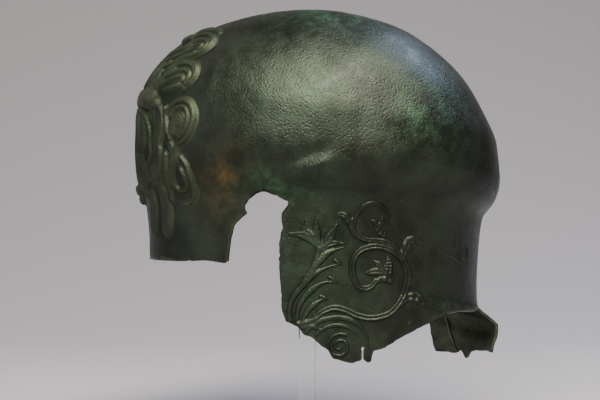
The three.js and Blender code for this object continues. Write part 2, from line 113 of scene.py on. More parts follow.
# The lower edge from the brow over the ear and the panel, then the two sides' own napes
BROW_EDGE = tuple(map(Corner._make, (
    ("brow foot front", -150.0, 125.0, 0.2, 0),
    ("brow foot", -92.0, 125.2, 0.35, 0),
    ("brow foot mid", -73.0, 126.2, 0.35, 0),
    ("brow foot back", -59.0, 124.4, 0.3, -1),
    ("brow edge low", -57.5, 139.5, 0.3, -1),
    ("brow edge", -55.0, 149.5, 0.5, -1),
    ("brow tip", -46.3, 157.2, 0.3, -1),
    ("ear notch", -49.5, 160.0, 0.3, -1),
    ("ear front", -46.0, 165.0, 0.5, -1),
    ("ear front top", -41.0, 169.0, 0.7, -1),
    ("ear top", -35.0, 171.2, 0.7, 0),
    ("ear back top", -28.0, 168.2, 0.6, 1),
    ("ear back", -24.0, 165.2, 0.3, 1),
    ("ear point", -18.8, 163.4, 0.3, 1),
    ("cheek shoulder", -25.4, 155.2, 0.5, 1),
    ("cheek bump", -24.2, 146.0, 0.5, 1),
    ("cheek notch", -26.6, 138.0, 0.6, 1),
    ("cheek edge", -26.2, 118.0, 0.6, 1),
    ("cheek low", -24.8, 95.0, 0.5, 1),
    ("cheek corner", -22.6, 88.2, 0.4, 1),
    ("boss step", -13.4, 84.2, 0.3, 1),
    ("boss step foot", -11.4, 79.6, 0.3, 0),
    ("boss front", -6.0, 78.6, 0.4, 0),
    ("boss low", 0.6, 72.2, 0.3, 0),
    ("boss ledge", 3.8, 71.2, 0.4, 0),
    ("boss foot", 7.6, 64.6, 0.4, 0),
    ("boss tip", 19.2, 61.6, 0.3, 0),
    ("slot foot", 25.8, 63.8, 0.0, 0),
    ("slot front", 25.9, 70.0, 0.0, 0),
    ("slot eye front", 25.2, 71.0, 0.0, 0),
    ("slot eye top", 26.4, 72.2, 0.0, 0),
    ("slot eye back", 27.6, 71.0, 0.0, 0),
    ("slot back", 26.8, 70.0, 0.0, 0),
    ("slot back foot", 26.8, 64.0, 0.0, 0),
    ("tab foot", 29.6, 62.0, 0.2, 0),
    ("tab corner", 31.6, 62.8, 0.2, 0),
    ("tab back", 33.2, 69.6, 0.2, 0),
    ("break start", 39.2, 70.8, 0.4, 0),
    ("break mid", 52.0, 78.2, 0.4, 0),
    ("break back", 71.0, 87.2, 0.4, 0),
)))
BROKEN_NAPE = tuple(map(Corner._make, (
    ("nape start", 81.0, 92.4, 0.3, 0),
    ("nape mid", 92.0, 93.6, 0.3, 0),
    ("nape end", 103.0, 92.6, 0.2, 0),
    ("nape beyond", 150.0, 91.0, 0.1, 0),
)))
FLARED_NAPE = tuple(map(Corner._make, (
    ("flare root", 83.0, 91.0, 0.2, 0),
    ("flare side", 87.0, 74.0, 0.3, 0),
    ("flare corner", 89.4, 60.0, 0.3, 0),
    ("flare rim start", 91.0, 55.0, 0.5, 0),
    ("flare rim", 103.6, 54.8, 0.9, 0),
    ("flare tear", 107.8, 57.4, 0.4, 0),
    ("flare tear tip", 110.4, 51.6, 0.3, 0),
    ("flare tear end", 112.8, 57.2, 0.5, 0),
    ("flare back", 121.0, 60.6, 0.3, 0),
    ("flare beyond", 150.0, 66.0, 0.1, 0),
)))


class Side(Enum):
    """The two sides of the helmet, by the sign of X."""

    LEFT = 1
    RIGHT = -1


class Blend(Enum):
    """How far a colour lies over the ones below it, by vertex attribute channel."""

    VERDIGRIS = "Red"
    EARTH = "Green"
    # Pale share: rubbed metal with painted highlight on crests and the broken edge, painted light on the
    # inner face
    WORN = "Blue"


def linear(hex_colour: str) -> tuple[float, float, float, float]:
    """Turn an sRGB hex colour into linear RGBA.

    Args:
        hex_colour: Six hex digits.

    Returns:
        Linear red, green, blue and an alpha of one.
    """
    parts = [int(hex_colour[i:i + 2], 16) / 255 for i in (0, 2, 4)]
    lit = [p / 12.92 if p <= 0.04045 else ((p + 0.055) / 1.055) ** 2.4 for p in parts]
    return (lit[0], lit[1], lit[2], 1.0)


def smoothstep(low: float, high: float, value: Array) -> Array:
    """Ease from 0 at low to 1 at high, as 3t^2 - 2t^3."""
    t = np.clip((value - low) / (high - low), 0.0, 1.0)
    return t * t * (3.0 - 2.0 * t)


def wavy(points: Array, wavelength: float, seed: int, waves: int = 12) -> Array:
    """Smooth unevenness: a sum of sine waves in random directions, near the range -1 to 1.

    Args:
        points: Places, in millimetres, in the last axis.
        wavelength: Typical distance between crests, in millimetres.
        seed: Seed of the directions and phases.
        waves: Number of waves that are added.

    Returns:
        One value for each place.
    """
    rng = np.random.default_rng(seed)
    heading = rng.normal(size=(waves, points.shape[-1]))
    heading /= np.linalg.norm(heading, axis=1, keepdims=True)
    pace = 2 * math.pi / (wavelength * rng.uniform(0.7, 1.5, waves))
    phase = rng.uniform(0, 2 * math.pi, waves)
    return np.sin(points @ (heading * pace[:, None]).T + phase).sum(-1) * math.sqrt(1.6 / waves)


def smooth_path(corners: Array, count: int) -> Array:
    """Catmull-Rom curve: each stretch is a cubic whose slope at a corner follows its two neighbours.

    Args:
        corners: Corner places, one row each.
        count: Number of places to return.

    Returns:
        Places along the curve, one row each.
    """
    padded = np.vstack([2 * corners[:1] - corners[1:2], corners, 2 * corners[-1:] - corners[-2:-1]])
    along = np.linspace(0, len(corners) - 1, count)
    i = np.minimum(along.astype(int), len(corners) - 2)
    t = (along - i)[:, None]
    a, b, c, d = (padded[i + k] for k in range(4))
    cubic = (3 * b - a - 3 * c + d) * t ** 3
    return 0.5 * (2 * b + (c - a) * t + (2 * a - 5 * b + 4 * c - d) * t ** 2 + cubic)


def nearest_on_path(points: Array, path: Array) -> tuple[Array, Array]:
    """Distance from each place to a polyline, and where along it the nearest point lies.

    Args:
        points: Flat places, one row each.
        path: Corners of the polyline, one row each.

    Returns:
        Signed distance, positive to the left of the way the path runs, and the share of the length.
    """
    start, step = path[:-1], np.diff(path, axis=0)
    length = np.linalg.norm(step, axis=1)
    rel = points[:, None, :] - start[None]
    share = np.clip((rel * step).sum(-1) / length ** 2, 0.0, 1.0)
    gap = rel - share[..., None] * step
    square = (gap ** 2).sum(-1)
    best = square.argmin(1)
    row = np.arange(len(points))
    turned = step[best, 0] * rel[row, best, 1] - step[best, 1] * rel[row, best, 0]
    reached = np.concatenate([[0.0], np.cumsum(length)])
    along = (reached[best] + share[row, best] * length[best]) / reached[-1]
    return np.where(turned < 0, -1, 1) * np.sqrt(square[row, best]), along


@dataclass(frozen=True)
class HelmetForm:
    """Outer form of the helmet: egg-shaped sections on planes that tilt down to the back."""

    tilt: float = 0.157
    front_power: float = 2.1
    back_power: float = 2.3
    rise: float = 7.0
    rise_place: float = 65.0
    rise_span: float = 42.0
    rise_fade_top: float = 240.0
    rise_fade_depth: float = 50.0
    brow_turn: float = 0.55
    brow_span: float = 0.8
    brow_level: float = 165.0
    seam_level: float = 168.5
    seam_depth: float = 8.0
    seam_fill: float = 5.2
    seam_turns: tuple[float, float] = (0.95, 1.34)
    dent: float = 0.3
    dent_length: float = 55.0
    ripple: float = 0.06
    ripple_length: float = 16.0
    fold_path: tuple = ((-25.0, 178.0), (-13.0, 182.6), (0.0, 187.4), (12.0, 192.2))
    fold_height: float = 2.0
    fold_width: float = 5.2
    hollow_away: float = 8.0
    hollow_width: float = 4.2

    def columns(self, row: Array) -> tuple[Array, ...]:
        """Level, front, back, half width and centre at fractional rows.

        A cubic through the table's rows, whose slope at a row is the harmonic mean of its neighbours' so
        that it never overshoots.

        Args:
            row: Fractional row numbers.

        Returns:
            Five arrays shaped as row.
        """
        table = np.array([section[1:] for section in SECTIONS])
        step = np.diff(table, axis=0)
        before, after = step[:-1], step[1:]
        product = before * after
        total = np.where(product > 0, before + after, 1.0)
        inner = np.where(product > 0, 2 * product / total, 0.0)
        slope = np.vstack([step[:1], inner, step[-1:]])
        i = np.clip(row.astype(int), 0, len(table) - 2)
        t = (row - i)[..., None]
        value = ((1 + 2 * t) * (1 - t) ** 2 * table[i] + t * (1 - t) ** 2 * slope[i]
                 + t ** 2 * (3 - 2 * t) * table[i + 1] + t ** 2 * (t - 1) * slope[i + 1])
        return tuple(np.moveaxis(value, -1, 0))

    def rows_at(self, level: Array) -> Array:
        """Fractional rows whose sections have the given levels, read off a fine table.

        Args:
            level: Levels of tilted sections.

        Returns:
            Rows shaped as level.
        """
        rows = np.linspace(0, len(SECTIONS) - 1, 4001)
        levels = self.columns(rows)[0]
        return np.interp(level, levels[::-1], rows[::-1])

    def lift_behind(self, y: Array, level: Array) -> Array:
        """Rise of the sections behind the ears: a bell curve along Y that fades out up the bowl."""
        fade = smoothstep(0.0, self.rise_fade_depth, self.rise_fade_top - level)
        return self.rise * np.exp(-((y - self.rise_place) / self.rise_span) ** 2) * fade

    def level_at(self, y: Array, z: Array) -> Array:
        """Level of the tilted section through a place in side view, by repeated correction.

        Args:
            y: Places along Y.
            z: Heights.

        Returns:
            Levels shaped as y.
        """
        level = z + self.tilt * y
        for _ in range(6):
            level = z + self.tilt * y - self.lift_behind(y, level)
        return level

    def plain(self, turn: Array, row: Array) -> Array:
        """Even form: a superellipse around each section, with its own reach to the front and to the back.

        Towards the front a bell curve up the form fills the step under the bulge.

        Args:
            turn: Angles from the front over the left side, in radians.
            row: Fractional rows of the section table.

        Returns:
            Places with X, Y and Z in the last axis.
        """
        level, front, back, half, centre = self.columns(row)
        along, across = np.cos(turn), np.sin(turn)
        away = np.abs((turn + math.pi) % (2 * math.pi) - math.pi)
        filled = self.seam_fill * np.exp(-((level - self.seam_level) / self.seam_depth) ** 2)
        half = half + filled * (1 - smoothstep(*self.seam_turns, away))
        power = 2 / np.where(along > 0, self.front_power, self.back_power)
        y = centre + np.where(along > 0, front - centre, back - centre) * np.abs(along) ** power
        x = half * np.sign(across) * np.abs(across) ** power
        return np.stack([x, y, level - self.tilt * y + self.lift_behind(y, level)], -1)

    def outward(self, turn: Array, row: Array) -> Array:
        """Outward unit direction: the cross product of two short steps on the even form.

        Args:
            turn: Angles from the front over the left side, in radians.
            row: Fractional rows of the section table.

        Returns:
            Unit directions with X, Y and Z in the last axis.
        """
        step = 0.02
        last = len(SECTIONS) - 1
        around = self.plain(turn + step, row) - self.plain(turn - step, row)
        down = self.plain(turn, np.minimum(row + step, last)) - self.plain(turn, np.maximum(row - step, 0))
        cross = np.cross(down, around)
        return cross / np.maximum(np.linalg.norm(cross, axis=-1, keepdims=True), 1e-12)

    def unevenness(self, place: Array) -> Array:
        """Hammered unevenness: slow dents, short ripples, and one fold over the left ear with its hollow.

        Args:
            place: Places on the even form.

        Returns:
            Height to add along the outward direction.
        """
        slow = self.dent * wavy(place, self.dent_length, seed=11)
        short = self.ripple * wavy(place, self.ripple_length, seed=12)
        flat = place[..., 1:].reshape(-1, 2)
        distance, along = nearest_on_path(flat, smooth_path(np.array(self.fold_path), 12))
        swell = smoothstep(0.0, 0.5, along) * (1 - smoothstep(0.6, 1.0, along))
        ridge = np.exp(-(distance / self.fold_width) ** 2)
        hollow = np.exp(-((distance - self.hollow_away) / self.hollow_width) ** 2)
        crest = (self.fold_height * (ridge - hollow) * swell).reshape(place.shape[:-1])
        return slow + short + np.where(place[..., 0] > 0, crest, 0.0)

    def place(self, turn: Array, row: Array, lift: Array | float = 0.0) -> Array:
        """Places on the hammered surface, moved outwards by a lift.

        Args:
            turn: Angles from the front over the left side, in radians.
            row: Fractional rows of the section table.
            lift: Distance outwards from the surface.

        Returns:
            Places with X, Y and Z in the last axis.
        """
        even = self.plain(turn, row)
        height = self.unevenness(even) + lift
        return even + self.outward(turn, row) * height[..., None]

    def from_side(self, y: Array, z: Array, side: Side) -> tuple[Array, Array]:
        """Turn and row of places given in side view.

        Args:
            y: Places along Y.
            z: Heights.
            side: The side that is seen.

        Returns:
            Turns and rows.
        """
        row = self.rows_at(self.level_at(y, z))
        _, front, back, _, centre = self.columns(row)
        ahead = y < centre
        share = np.clip((y - centre) / np.where(ahead, front - centre, back - centre), 0.0, 1.0)
        along = share ** (np.where(ahead, self.front_power, self.back_power) / 2)
        return side.value * np.arccos(np.where(ahead, along, -along)), row

    def from_front(self, around: Array, up: Array) -> tuple[Array, Array]:
        """Turn and row of places given as lengths on the brow.

        Up is the length of the form's profile at one turn, equal to the height at one level. Around is a
        length along the section, from its mean radius over the brow.

        Args:
            around: Length from the middle, positive to the left.
            up: Length up the brow.

        Returns:
            Turns and rows.
        """
        rows = np.linspace(0, len(SECTIONS) - 1, 801)
        profile = self.plain(np.full_like(rows, self.brow_turn), rows)
        reached = np.concatenate([[0.0], np.cumsum(np.linalg.norm(np.diff(profile, axis=0), axis=1))])
        climb = np.interp(-self.brow_level, -profile[:, 2], reached) - reached + self.brow_level
        turns = np.linspace(0, self.brow_span, 25)
        arcs = self.plain(*np.meshgrid(turns, rows, indexing="ij"))
        radius = np.linalg.norm(np.diff(arcs, axis=0), axis=-1).sum(0) / self.brow_span
        row = np.interp(up, climb[::-1], rows[::-1])
        return around / np.maximum(np.interp(row, rows, radius), 1.0), row


@dataclass(frozen=True)
class RaggedEdge:
    """A broken or cut edge in side view: straight stretches between corners, roughened by a random walk."""

    corners: tuple[Corner, ...]
    seed: int
    ear_extra: float = 0.0
    spacing: float = 1.6
    floor: float = 0.0
    trim: float = 0.6

    def polygon(self) -> Array:
        """Closed outline of what lies below the edge.

        Each stretch is divided evenly and its points move sideways by random amounts.

        Returns:
            Corners of the outline, one row each.
        """
        rng = np.random.default_rng(self.seed)
        pieces = []
        corners = [(y + self.ear_extra * ear, z, rough) for _, y, z, rough, ear in self.corners]
        for (y0, z0, rough), (y1, z1, _) in zip(corners[:-1], corners[1:]):
            run = np.array([y1 - y0, z1 - z0])
            length = float(np.hypot(*run))
            share = np.linspace(0, 1, max(2, int(length / self.spacing)) + 1)[:-1, None]
            aside = np.array([-run[1], run[0]]) / length
            jitter = rng.normal(0, rough * 0.6, (len(share), 1)) * np.sin(math.pi * np.clip(share, 0.15, 1))
            pieces.append(np.array([[y0, z0]]) + share * run + jitter * aside)
        last = corners[-1]
        ends = np.array([[last[0], last[1]], [last[0], self.floor], [corners[0][0], self.floor]])
        return np.vstack([*pieces, ends])

    def above(self, y: Array, z: Array) -> Array:
        """Signed distance from the edge, positive above it.

        The size is the distance to the nearest stretch, and the sign comes from the number of stretches that
        a ray crosses.

        Args:
            y: Places along Y.
            z: Heights.

        Returns:
            Distances shaped as y.
        """
        ring = self.polygon()
        closed = np.vstack([ring, ring[:1]])
        flat = np.stack([y.ravel(), z.ravel()], -1)
        inside = np.zeros(len(flat), bool)
        distance = np.full(len(flat), np.inf)
        for a, b in zip(closed[:-1], closed[1:]):
            run = b - a
            rel = flat - a
            share = np.clip(rel @ run / max(float(run @ run), 1e-9), 0, 1)
            distance = np.minimum(distance, np.linalg.norm(rel - share[:, None] * run, axis=1))
            spans = (a[1] > flat[:, 1]) != (b[1] > flat[:, 1])
            slope = run[0] / run[1] if run[1] else 0.0
            inside ^= spans & (flat[:, 0] < a[0] + (flat[:, 1] - a[1]) * slope)
        return np.where(inside, -distance, distance).reshape(y.shape)

    def trimmed(self, y: Array, z: Array) -> Array:
        """Signed distance from a line set back above the edge by the trim."""
        return self.above(y, z) - self.trim


def edge_of(side: Side) -> RaggedEdge:
    """Lower edge of one side: the left has lost the flare of its nape."""
    if side is Side.LEFT:
        return RaggedEdge(BROW_EDGE + BROKEN_NAPE, seed=5)
    return RaggedEdge(BROW_EDGE + FLARED_NAPE, seed=6, ear_extra=4.0)


@dataclass(frozen=True)
class Stroke:
    """One raised lock, stem or leaf: a rounded ridge along a path, with strands or beads worked along it."""

    name: str
    path: tuple[tuple[float, float], ...]
    width: tuple[float, float, float]
    height: float
    strands: int = 1
    groove: float = 0.3
    beads: int = 0
    bead_depth: float = 0.45

    def field(self, a: Array, b: Array) -> tuple[Array, Array]:
        """Distance inside the stroke's outline, and the stroke's height.

        Across the path the height falls as the root of 1 - share^2, with cosine grooves between strands and
        cosine notches between beads. The width eases from its first through its middle to its last value.

        Args:
            a: First flat coordinates.
            b: Second flat coordinates.

        Returns:
            Distance inside, negative outside, and height above the sheet.
        """
        corners = np.array(self.path, float)
        reach = max(self.width) + 4.0
        flat = np.stack([a.ravel(), b.ravel()], -1)
        near = np.all((flat > corners.min(0) - reach) & (flat < corners.max(0) + reach), axis=1)
        inside = np.full(len(flat), -reach)
        height = np.zeros(len(flat))
        if near.any():
            distance, along = nearest_on_path(flat[near], smooth_path(corners, 8 * len(corners)))
            first, middle, last = self.width
            half = np.where(along < 0.5, first + (middle - first) * smoothstep(0, 0.5, along),
                            middle + (last - middle) * smoothstep(0.5, 1, along)) / 2
            share = np.clip(distance / half, -1, 1)
            worked = np.sqrt(1 - share ** 2)
            if self.strands > 1:
                worked *= 1 - self.groove * (0.5 + 0.5 * np.cos(math.pi * self.strands * (share + 1)))
            if self.beads:
                worked *= 1 - self.bead_depth * (0.5 + 0.5 * np.cos(2 * math.pi * self.beads * along))
            inside[near] = half - np.abs(distance)
            height[near] = self.height * np.sqrt(2 * half / max(self.width)) * worked
        return inside.reshape(a.shape), height.reshape(a.shape)


def ring_path(centre: tuple[float, float], start: float, sweep: float, radii: tuple[float, float],
              stretch: float = 1.0, steps: int = 14) -> tuple:
    """Path of a ring or spiral whose radius eases from its first to its last value.

    Args:
        centre: Flat place of the centre.
        start: First bearing, in degrees.
        sweep: Angle that it turns through, in degrees.
        radii: First and last radius.
        stretch: Height over width of the ring.
        steps: Number of stretches.

    Returns:
        Corners of the path.
    """
    share = np.linspace(0, 1, steps + 1)
    angle = np.radians(start + sweep * share)
    radius = radii[0] + (radii[1] - radii[0]) * share
    corners = np.stack([centre[0] + radius * np.cos(angle), centre[1] + stretch * radius * np.sin(angle)], -1)
    return tuple(map(tuple, corners))


# Locks of the front: length around from the middle and length up the brow
LOCKS = (
    Stroke("middle rib", ((0, 292), (0, 251), (0, 209), (0, 178)), (7, 10, 7), 1.9, 2, 0.45),
    Stroke("crown top", ((4, 287), (15, 290), (27, 291.5), (38, 291.5), (47, 288)),
           (7, 6, 2.4), 2.0, 2, 0.4),
    Stroke("crown rim", ((23, 280), (29, 284), (37, 285.2), (45.5, 283.8), (53, 280.4), (58, 275.8),
                         (59.6, 271.2), (58, 267.4), (53, 263.5)), (3.0, 3.6, 2.4), 2.2),
    Stroke("crown inner", ((32, 274), (36, 278.4), (42, 280.2), (49, 279), (53.4, 275.8), (54.6, 271.8),
                           (51, 267.8)), (4.0, 3.6, 2.6), 1.8, 2, 0.4),
    Stroke("crown eye", ((40, 269.5), (43.5, 273.5), (48.4, 275), (50.6, 272.4), (47.6, 269.8)),
           (4.0, 3.4, 2.2), 1.6),
    Stroke("crown knob", ((11, 280), (23, 282)), (9, 9, 8), 2.9),
    Stroke("strand high", ((14, 265.5), (23, 268), (31, 271), (38, 273.5)), (6, 6, 3.5), 2.0, 2, 0.45),
    Stroke("strand mid", ((24, 261), (34, 264), (40, 267.5), (46, 270.5)), (5, 5, 3), 1.8, 2, 0.4),
    Stroke("strand low", ((33, 255), (41, 258.5), (46, 263), (52, 267)), (5, 5, 3), 1.8, 2, 0.4),
    Stroke("fore outer", ((7, 239), (9, 246), (9.5, 253), (11, 260), (13, 268)), (8, 9, 7), 2.2, 3, 0.4),
    Stroke("fore second", ((18, 238), (21, 245), (21, 253), (22, 259)), (7, 8, 6), 2.1, 2, 0.4),
    Stroke("fore third", ((28, 238), (31.5, 245), (31, 252), (32, 258)), (7, 7.4, 5), 2.0, 2, 0.4),
    Stroke("fore side", ((38, 236.5), (42, 242.5), (44, 248), (47, 254)), (6, 6, 4), 1.8, 2, 0.4),
    Stroke("second rim", ((39, 249), (44, 254), (50, 257.4), (57, 258.4), (64, 256.6), (69, 252.6),
                          (71.2, 248.4), (70.8, 244.4), (67.4, 241.5)), (4.4, 4.6, 2.6), 2.1, 2, 0.4),
    Stroke("second inner", ((42, 244.6), (48, 249), (54, 252.2), (60, 253), (64.8, 251), (67, 247.4),
                            (66, 244.6)), (4.0, 4.0, 2.4), 1.8, 2, 0.4),
    Stroke("second eye", ((46, 240.5), (51.5, 244.6), (56.5, 247.6), (60.8, 248), (63.2, 245.8),
                          (61.6, 242.8)), (4.0, 4.0, 2.2), 1.7, 2, 0.4),
    Stroke("second foot", ((52, 237), (58.5, 240), (63.5, 240.8), (68, 240.2)), (4, 4, 2), 1.5),
    Stroke("bud front", ((4, 231), (12, 231.5), (22, 229)), (12, 14, 10), 3.6),
    Stroke("bud back", ((26, 231.5), (36, 231), (46, 228)), (13, 15, 9), 3.8),
    Stroke("tendril front edge", ((17, 226), (29, 222.5), (37.5, 218.5), (43, 213.5), (45, 207.5),
                                  (44.5, 201.5), (45, 196.5), (41.5, 191), (37.5, 185), (37, 180),
                                  (39.5, 176.5)), (3.4, 3.2, 2.8), 2.0),
    Stroke("tendril back edge", ((52, 226), (57, 221), (58.6, 214.5), (57, 208.5), (55.2, 202.5),
                                 (55.8, 197.5), (54.5, 190.5), (51, 183), (46.5, 178)),
           (3.2, 3.0, 2.6), 1.8),
    Stroke("tendril", ((46, 224), (51, 215), (51, 206), (50, 198), (47, 189), (43, 180)),
           (13, 9, 12), 1.2, 3, 0.35),
    Stroke("curl stem", ((58.5, 226), (61.5, 219), (63.5, 212), (66.5, 206.5)), (3.0, 3.2, 2.4), 1.8),
    Stroke("curl rim", ((60.6, 221), (63, 226), (66.8, 230), (72, 231.8), (77, 231), (81, 227.6),
                        (83.4, 223), (83.6, 217.6), (81.8, 212), (78, 207), (73, 203.4)),
           (3.6, 4.0, 2.6), 2.1),
    Stroke("curl second", ((65, 221), (67.4, 225), (70.8, 227.4), (74.8, 227.8), (78, 225.4), (79.6, 221.4),
                           (79.4, 216.6), (77.4, 211.6), (74, 208)), (2.8, 3.0, 2.2), 1.8),
    Stroke("curl shell", ((67, 210.5), (68.4, 215.6), (70.6, 219.4), (73.6, 220.4), (75.4, 217.6),
                          (74.6, 213.4), (71.6, 209.8)), (6.0, 8.0, 5.0), 1.5, 4, 0.55),
    Stroke("small lobe", ((66, 203), (69, 197), (65, 189)), (5, 7, 4), 1.5, 2, 0.35),
    Stroke("low hook", ((72, 202), (69.6, 196), (65.4, 189), (62.8, 181.5), (63, 175.8), (65.8, 173.2),
                        (70, 174.2), (73.2, 178.5), (74.2, 183.6), (72.6, 188)), (3.0, 4.0, 2.4), 1.8),
    Stroke("low outer", ((74, 196), (77.6, 191), (78, 185), (77, 178), (74.4, 171.4), (70, 166), (64, 163)),
           (2.4, 3.6, 2.0), 1.4),
    Stroke("low stem", ((60.5, 196), (59, 186), (57, 176), (54.5, 166)), (4, 5, 3), 1.4, 2, 0.35),
    Stroke("front lock", ((9, 224), (17, 214), (16, 205), (8, 197)), (9, 10, 7), 2.1, 3, 0.4),
    Stroke("front side lock", ((26, 221), (32, 212), (31.5, 203), (25, 195)), (8, 9, 7), 1.8, 3, 0.4),
    Stroke("front foot", ((9, 194), (13.5, 185), (11, 177), (6, 172)), (8, 10, 7), 2.1, 2, 0.4),
    Stroke("side foot", ((26, 193), (29, 184), (27, 175), (23, 166)), (8, 9, 6), 1.7, 2, 0.35),
    Stroke("droop front", ((33, 168), (31.5, 157), (29.5, 148), (29, 143.5)), (8, 10.5, 9), 1.4, 2, 0.3),
    Stroke("droop back", ((48.5, 170), (48, 159), (46.8, 149), (46, 145)), (8, 10.5, 9), 1.4, 2, 0.3),
    Stroke("knob", ((0, 170), (0, 168)), (7.6, 7.6, 7), 4.2),
    Stroke("knob foot", ((0, 163.4), (0, 161.6)), (6.6, 6.6, 6), 3.4),
)

# Scrolls of the side panels, in side view: place along Y and height
SCROLLS = (
    Stroke("main stem", ((-4, 90.6), (1, 94.6), (8, 97), (15, 95.6), (23, 92), (31, 90.4), (39, 91.6),
                         (45, 94.6), (51.4, 102.6), (54.6, 112), (55, 119.4), (52, 127)),
           (5.0, 5.2, 5.4), 2.0, 2, 0.6),
    Stroke("low ring", ((50.2, 128.6), (45.8, 132.2), (41.6, 134.4), (36.4, 135.6), (31, 135.4),
                        (25.8, 133.8), (22, 130.6), (20, 126.6), (19.4, 122.2), (20, 117.6), (21.6, 113),
                        (24.4, 110.2), (28, 109.2), (31.8, 110.6), (34.4, 114)),
           (4.4, 4.8, 4.2), 2.0, 2, 0.6),
    Stroke("high ring", ((50.6, 130), (44.8, 136.4), (40.6, 138.4), (35.2, 139.4), (29, 139.8), (23.6, 142),
                         (20, 145.6), (20.2, 150.8), (22, 155), (24.8, 159.2), (28, 162), (32, 163),
                         (36.2, 162.2), (39.6, 159.8), (41.8, 156), (42, 152)),
           (3.8, 3.8, 2.4), 1.8, 2, 0.55),
    Stroke("flower leaf fore", ((41, 119.4), (34, 119.8), (25.8, 118.4)), (5, 5.8, 0.8), 1.9, 2, 0.4),
    Stroke("flower leaf mid", ((40, 119.6), (36.4, 124), (32.6, 127.4)), (5, 5.4, 0.8), 1.9, 2, 0.4),
    Stroke("flower leaf up", ((42.6, 118), (43, 124), (42, 130)), (6, 6, 1.0), 2.1, 2, 0.4, beads=6),
    Stroke("flower cup", ((34.6, 113.6), (38, 115), (42, 114.4), (45.6, 112)),
           (3.6, 5.0, 2.4), 2.1, beads=3),
    Stroke("high leaf fore", ((36.6, 147.6), (33.4, 151), (30.4, 152.6)), (4, 4.4, 0.8), 1.6, 2, 0.4),
    Stroke("high leaf up", ((37, 148), (38.6, 151.6), (38, 155.4)), (3.8, 3.8, 0.8), 1.5, 2, 0.4),
    Stroke("high leaf low", ((35, 147.2), (38.6, 143.4), (44.6, 142)),
           (4.8, 4.8, 1.0), 1.7, 2, 0.4, beads=4),
    Stroke("blade root", ((-19.4, 89), (-20, 96), (-17.6, 103.4), (-14.4, 108), (-10.4, 112.4),
                          (-5.6, 117.4), (-0.2, 120.8), (4.2, 122.8), (9, 124), (13.4, 124)),
           (3.8, 4.8, 1.2), 2.0),
    Stroke("blade low", ((-11.8, 88.4), (-8.8, 94.6), (-4.8, 99), (0, 101.8), (5, 102.6)),
           (3.2, 4.6, 1.2), 1.9),
    Stroke("blade mid", ((-15.6, 89.6), (-13.6, 98.6), (-9.2, 105.4), (-4.6, 109.8), (0.2, 112.6),
                         (5, 113.4), (10.2, 112.8)), (3.4, 4.8, 1.2), 2.0),
    Stroke("blade high", ((-7.6, 116.6), (-5.4, 120), (-1.8, 126), (3, 130.8), (8, 133.4), (14.2, 135.2)),
           (4.2, 5.2, 1.2), 2.0),
    Stroke("blade low tip", ((-0.6, 104.6), (4.8, 102.4)), (2.6, 2.4, 1.0), 1.5),
    Stroke("blade mid tip", ((5, 116.6), (10.2, 113.4)), (2.6, 2.4, 1.0), 1.6),
    Stroke("blade root tip", ((8.4, 127.2), (13, 124.2)), (2.6, 2.4, 1.0), 1.6),
    Stroke("blade foot", ((-15, 86.6), (-7, 88.6), (0, 92.6)), (4, 4.2, 1.4), 1.8),
    Stroke("leaf stem", ((-15.6, 104), (-11, 113.4), (-6, 121), (-2.6, 128), (-0.8, 134.6)),
           (2.4, 4.6, 5.2), 1.7),
    Stroke("leaf fore", ((-0.6, 133.4), (-2.6, 136.4), (-6.4, 140.4), (-11, 142.8), (-15.4, 143.4),
                         (-19.8, 143.6)), (4.4, 7.0, 3.0), 1.8, 2, 0.3),
    Stroke("leaf fore up", ((-0.6, 134), (-4, 139), (-8.2, 143.6), (-11, 147.4), (-11.8, 151.4)),
           (4.4, 7.0, 3.0), 1.8, 2, 0.3),
    Stroke("leaf top", ((-0.8, 134), (-2.2, 138.4), (-3, 144), (-3.2, 149), (-2.6, 152.8)),
           (4.4, 6.6, 2.8), 1.8, 2, 0.3),
    Stroke("leaf back up", ((0, 134), (2, 136.8), (4.6, 140.8), (6.8, 144), (9.6, 149)),
           (4.4, 7.0, 3.0), 1.8, 2, 0.3),
    Stroke("leaf back", ((0, 133.4), (4.4, 136.8), (8, 137.8), (14, 137.6)), (4, 5.2, 1.6), 1.9, 2, 0.4),
    Stroke("sheath top", ((19.8, 145), (18.4, 150), (15.6, 154.2), (11.8, 156), (8.6, 154)),
           (4.4, 6.0, 2.6), 1.9, 2, 0.4, beads=4, bead_depth=0.3),
    Stroke("sheath back", ((51.4, 128), (53.6, 134), (56.6, 138.8), (60.4, 139.8), (64.6, 136.6)),
           (5.2, 7.6, 3.2), 2.0, 2, 0.4, beads=4, bead_depth=0.35),
    Stroke("sheath low", ((50.6, 99.8), (55.6, 102.8), (60.4, 102.8), (64.4, 99.6), (66, 95)),
           (5.2, 7.6, 3.2), 2.0, 2, 0.4, beads=4, bead_depth=0.35),
    Stroke("boss", ring_path((11.6, 72.4), 60, 630, (8.6, 1.2), 0.96, 26), (2.6, 3.0, 2.4), 1.2),
    Stroke("boss arc", ring_path((11.4, 72.4), 152, -150, (23.4, 18.4), 0.86, 12), (3.2, 4.0, 1.8), 1.4),
    Stroke("boss arc inner", ring_path((11.4, 72.4), 150, -116, (16.6, 13.4), 0.9, 10),
           (2.8, 3.4, 1.4), 1.3),
    Stroke("boss leaf", ((-12, 84.4), (-6, 85.4), (0, 83)), (3.4, 4.4, 1.4), 1.7),
)
NAPE_LEAF = (
    Stroke("nape leaf", ((86.4, 147.4), (90, 141), (91.6, 133), (94.6, 126), (98, 120.6)),
           (1.4, 4.4, 1.0), 1.3),
    Stroke("nape leaf back", ((98, 135), (97.8, 128), (98.2, 121)), (1.0, 2.6, 1.0), 1.0),
    Stroke("nape leaf fore", ((77, 132.6), (82, 130.4), (88, 127), (95, 121)), (1.0, 3.6, 1.2), 0.9),
)
FLARE_RIB = (
    Stroke("flare rib", ((97.4, 86.0), (99.4, 77.0), (101.4, 68.0), (105.0, 56.4)), (1.6, 2.0, 1.4), 1.1),
)


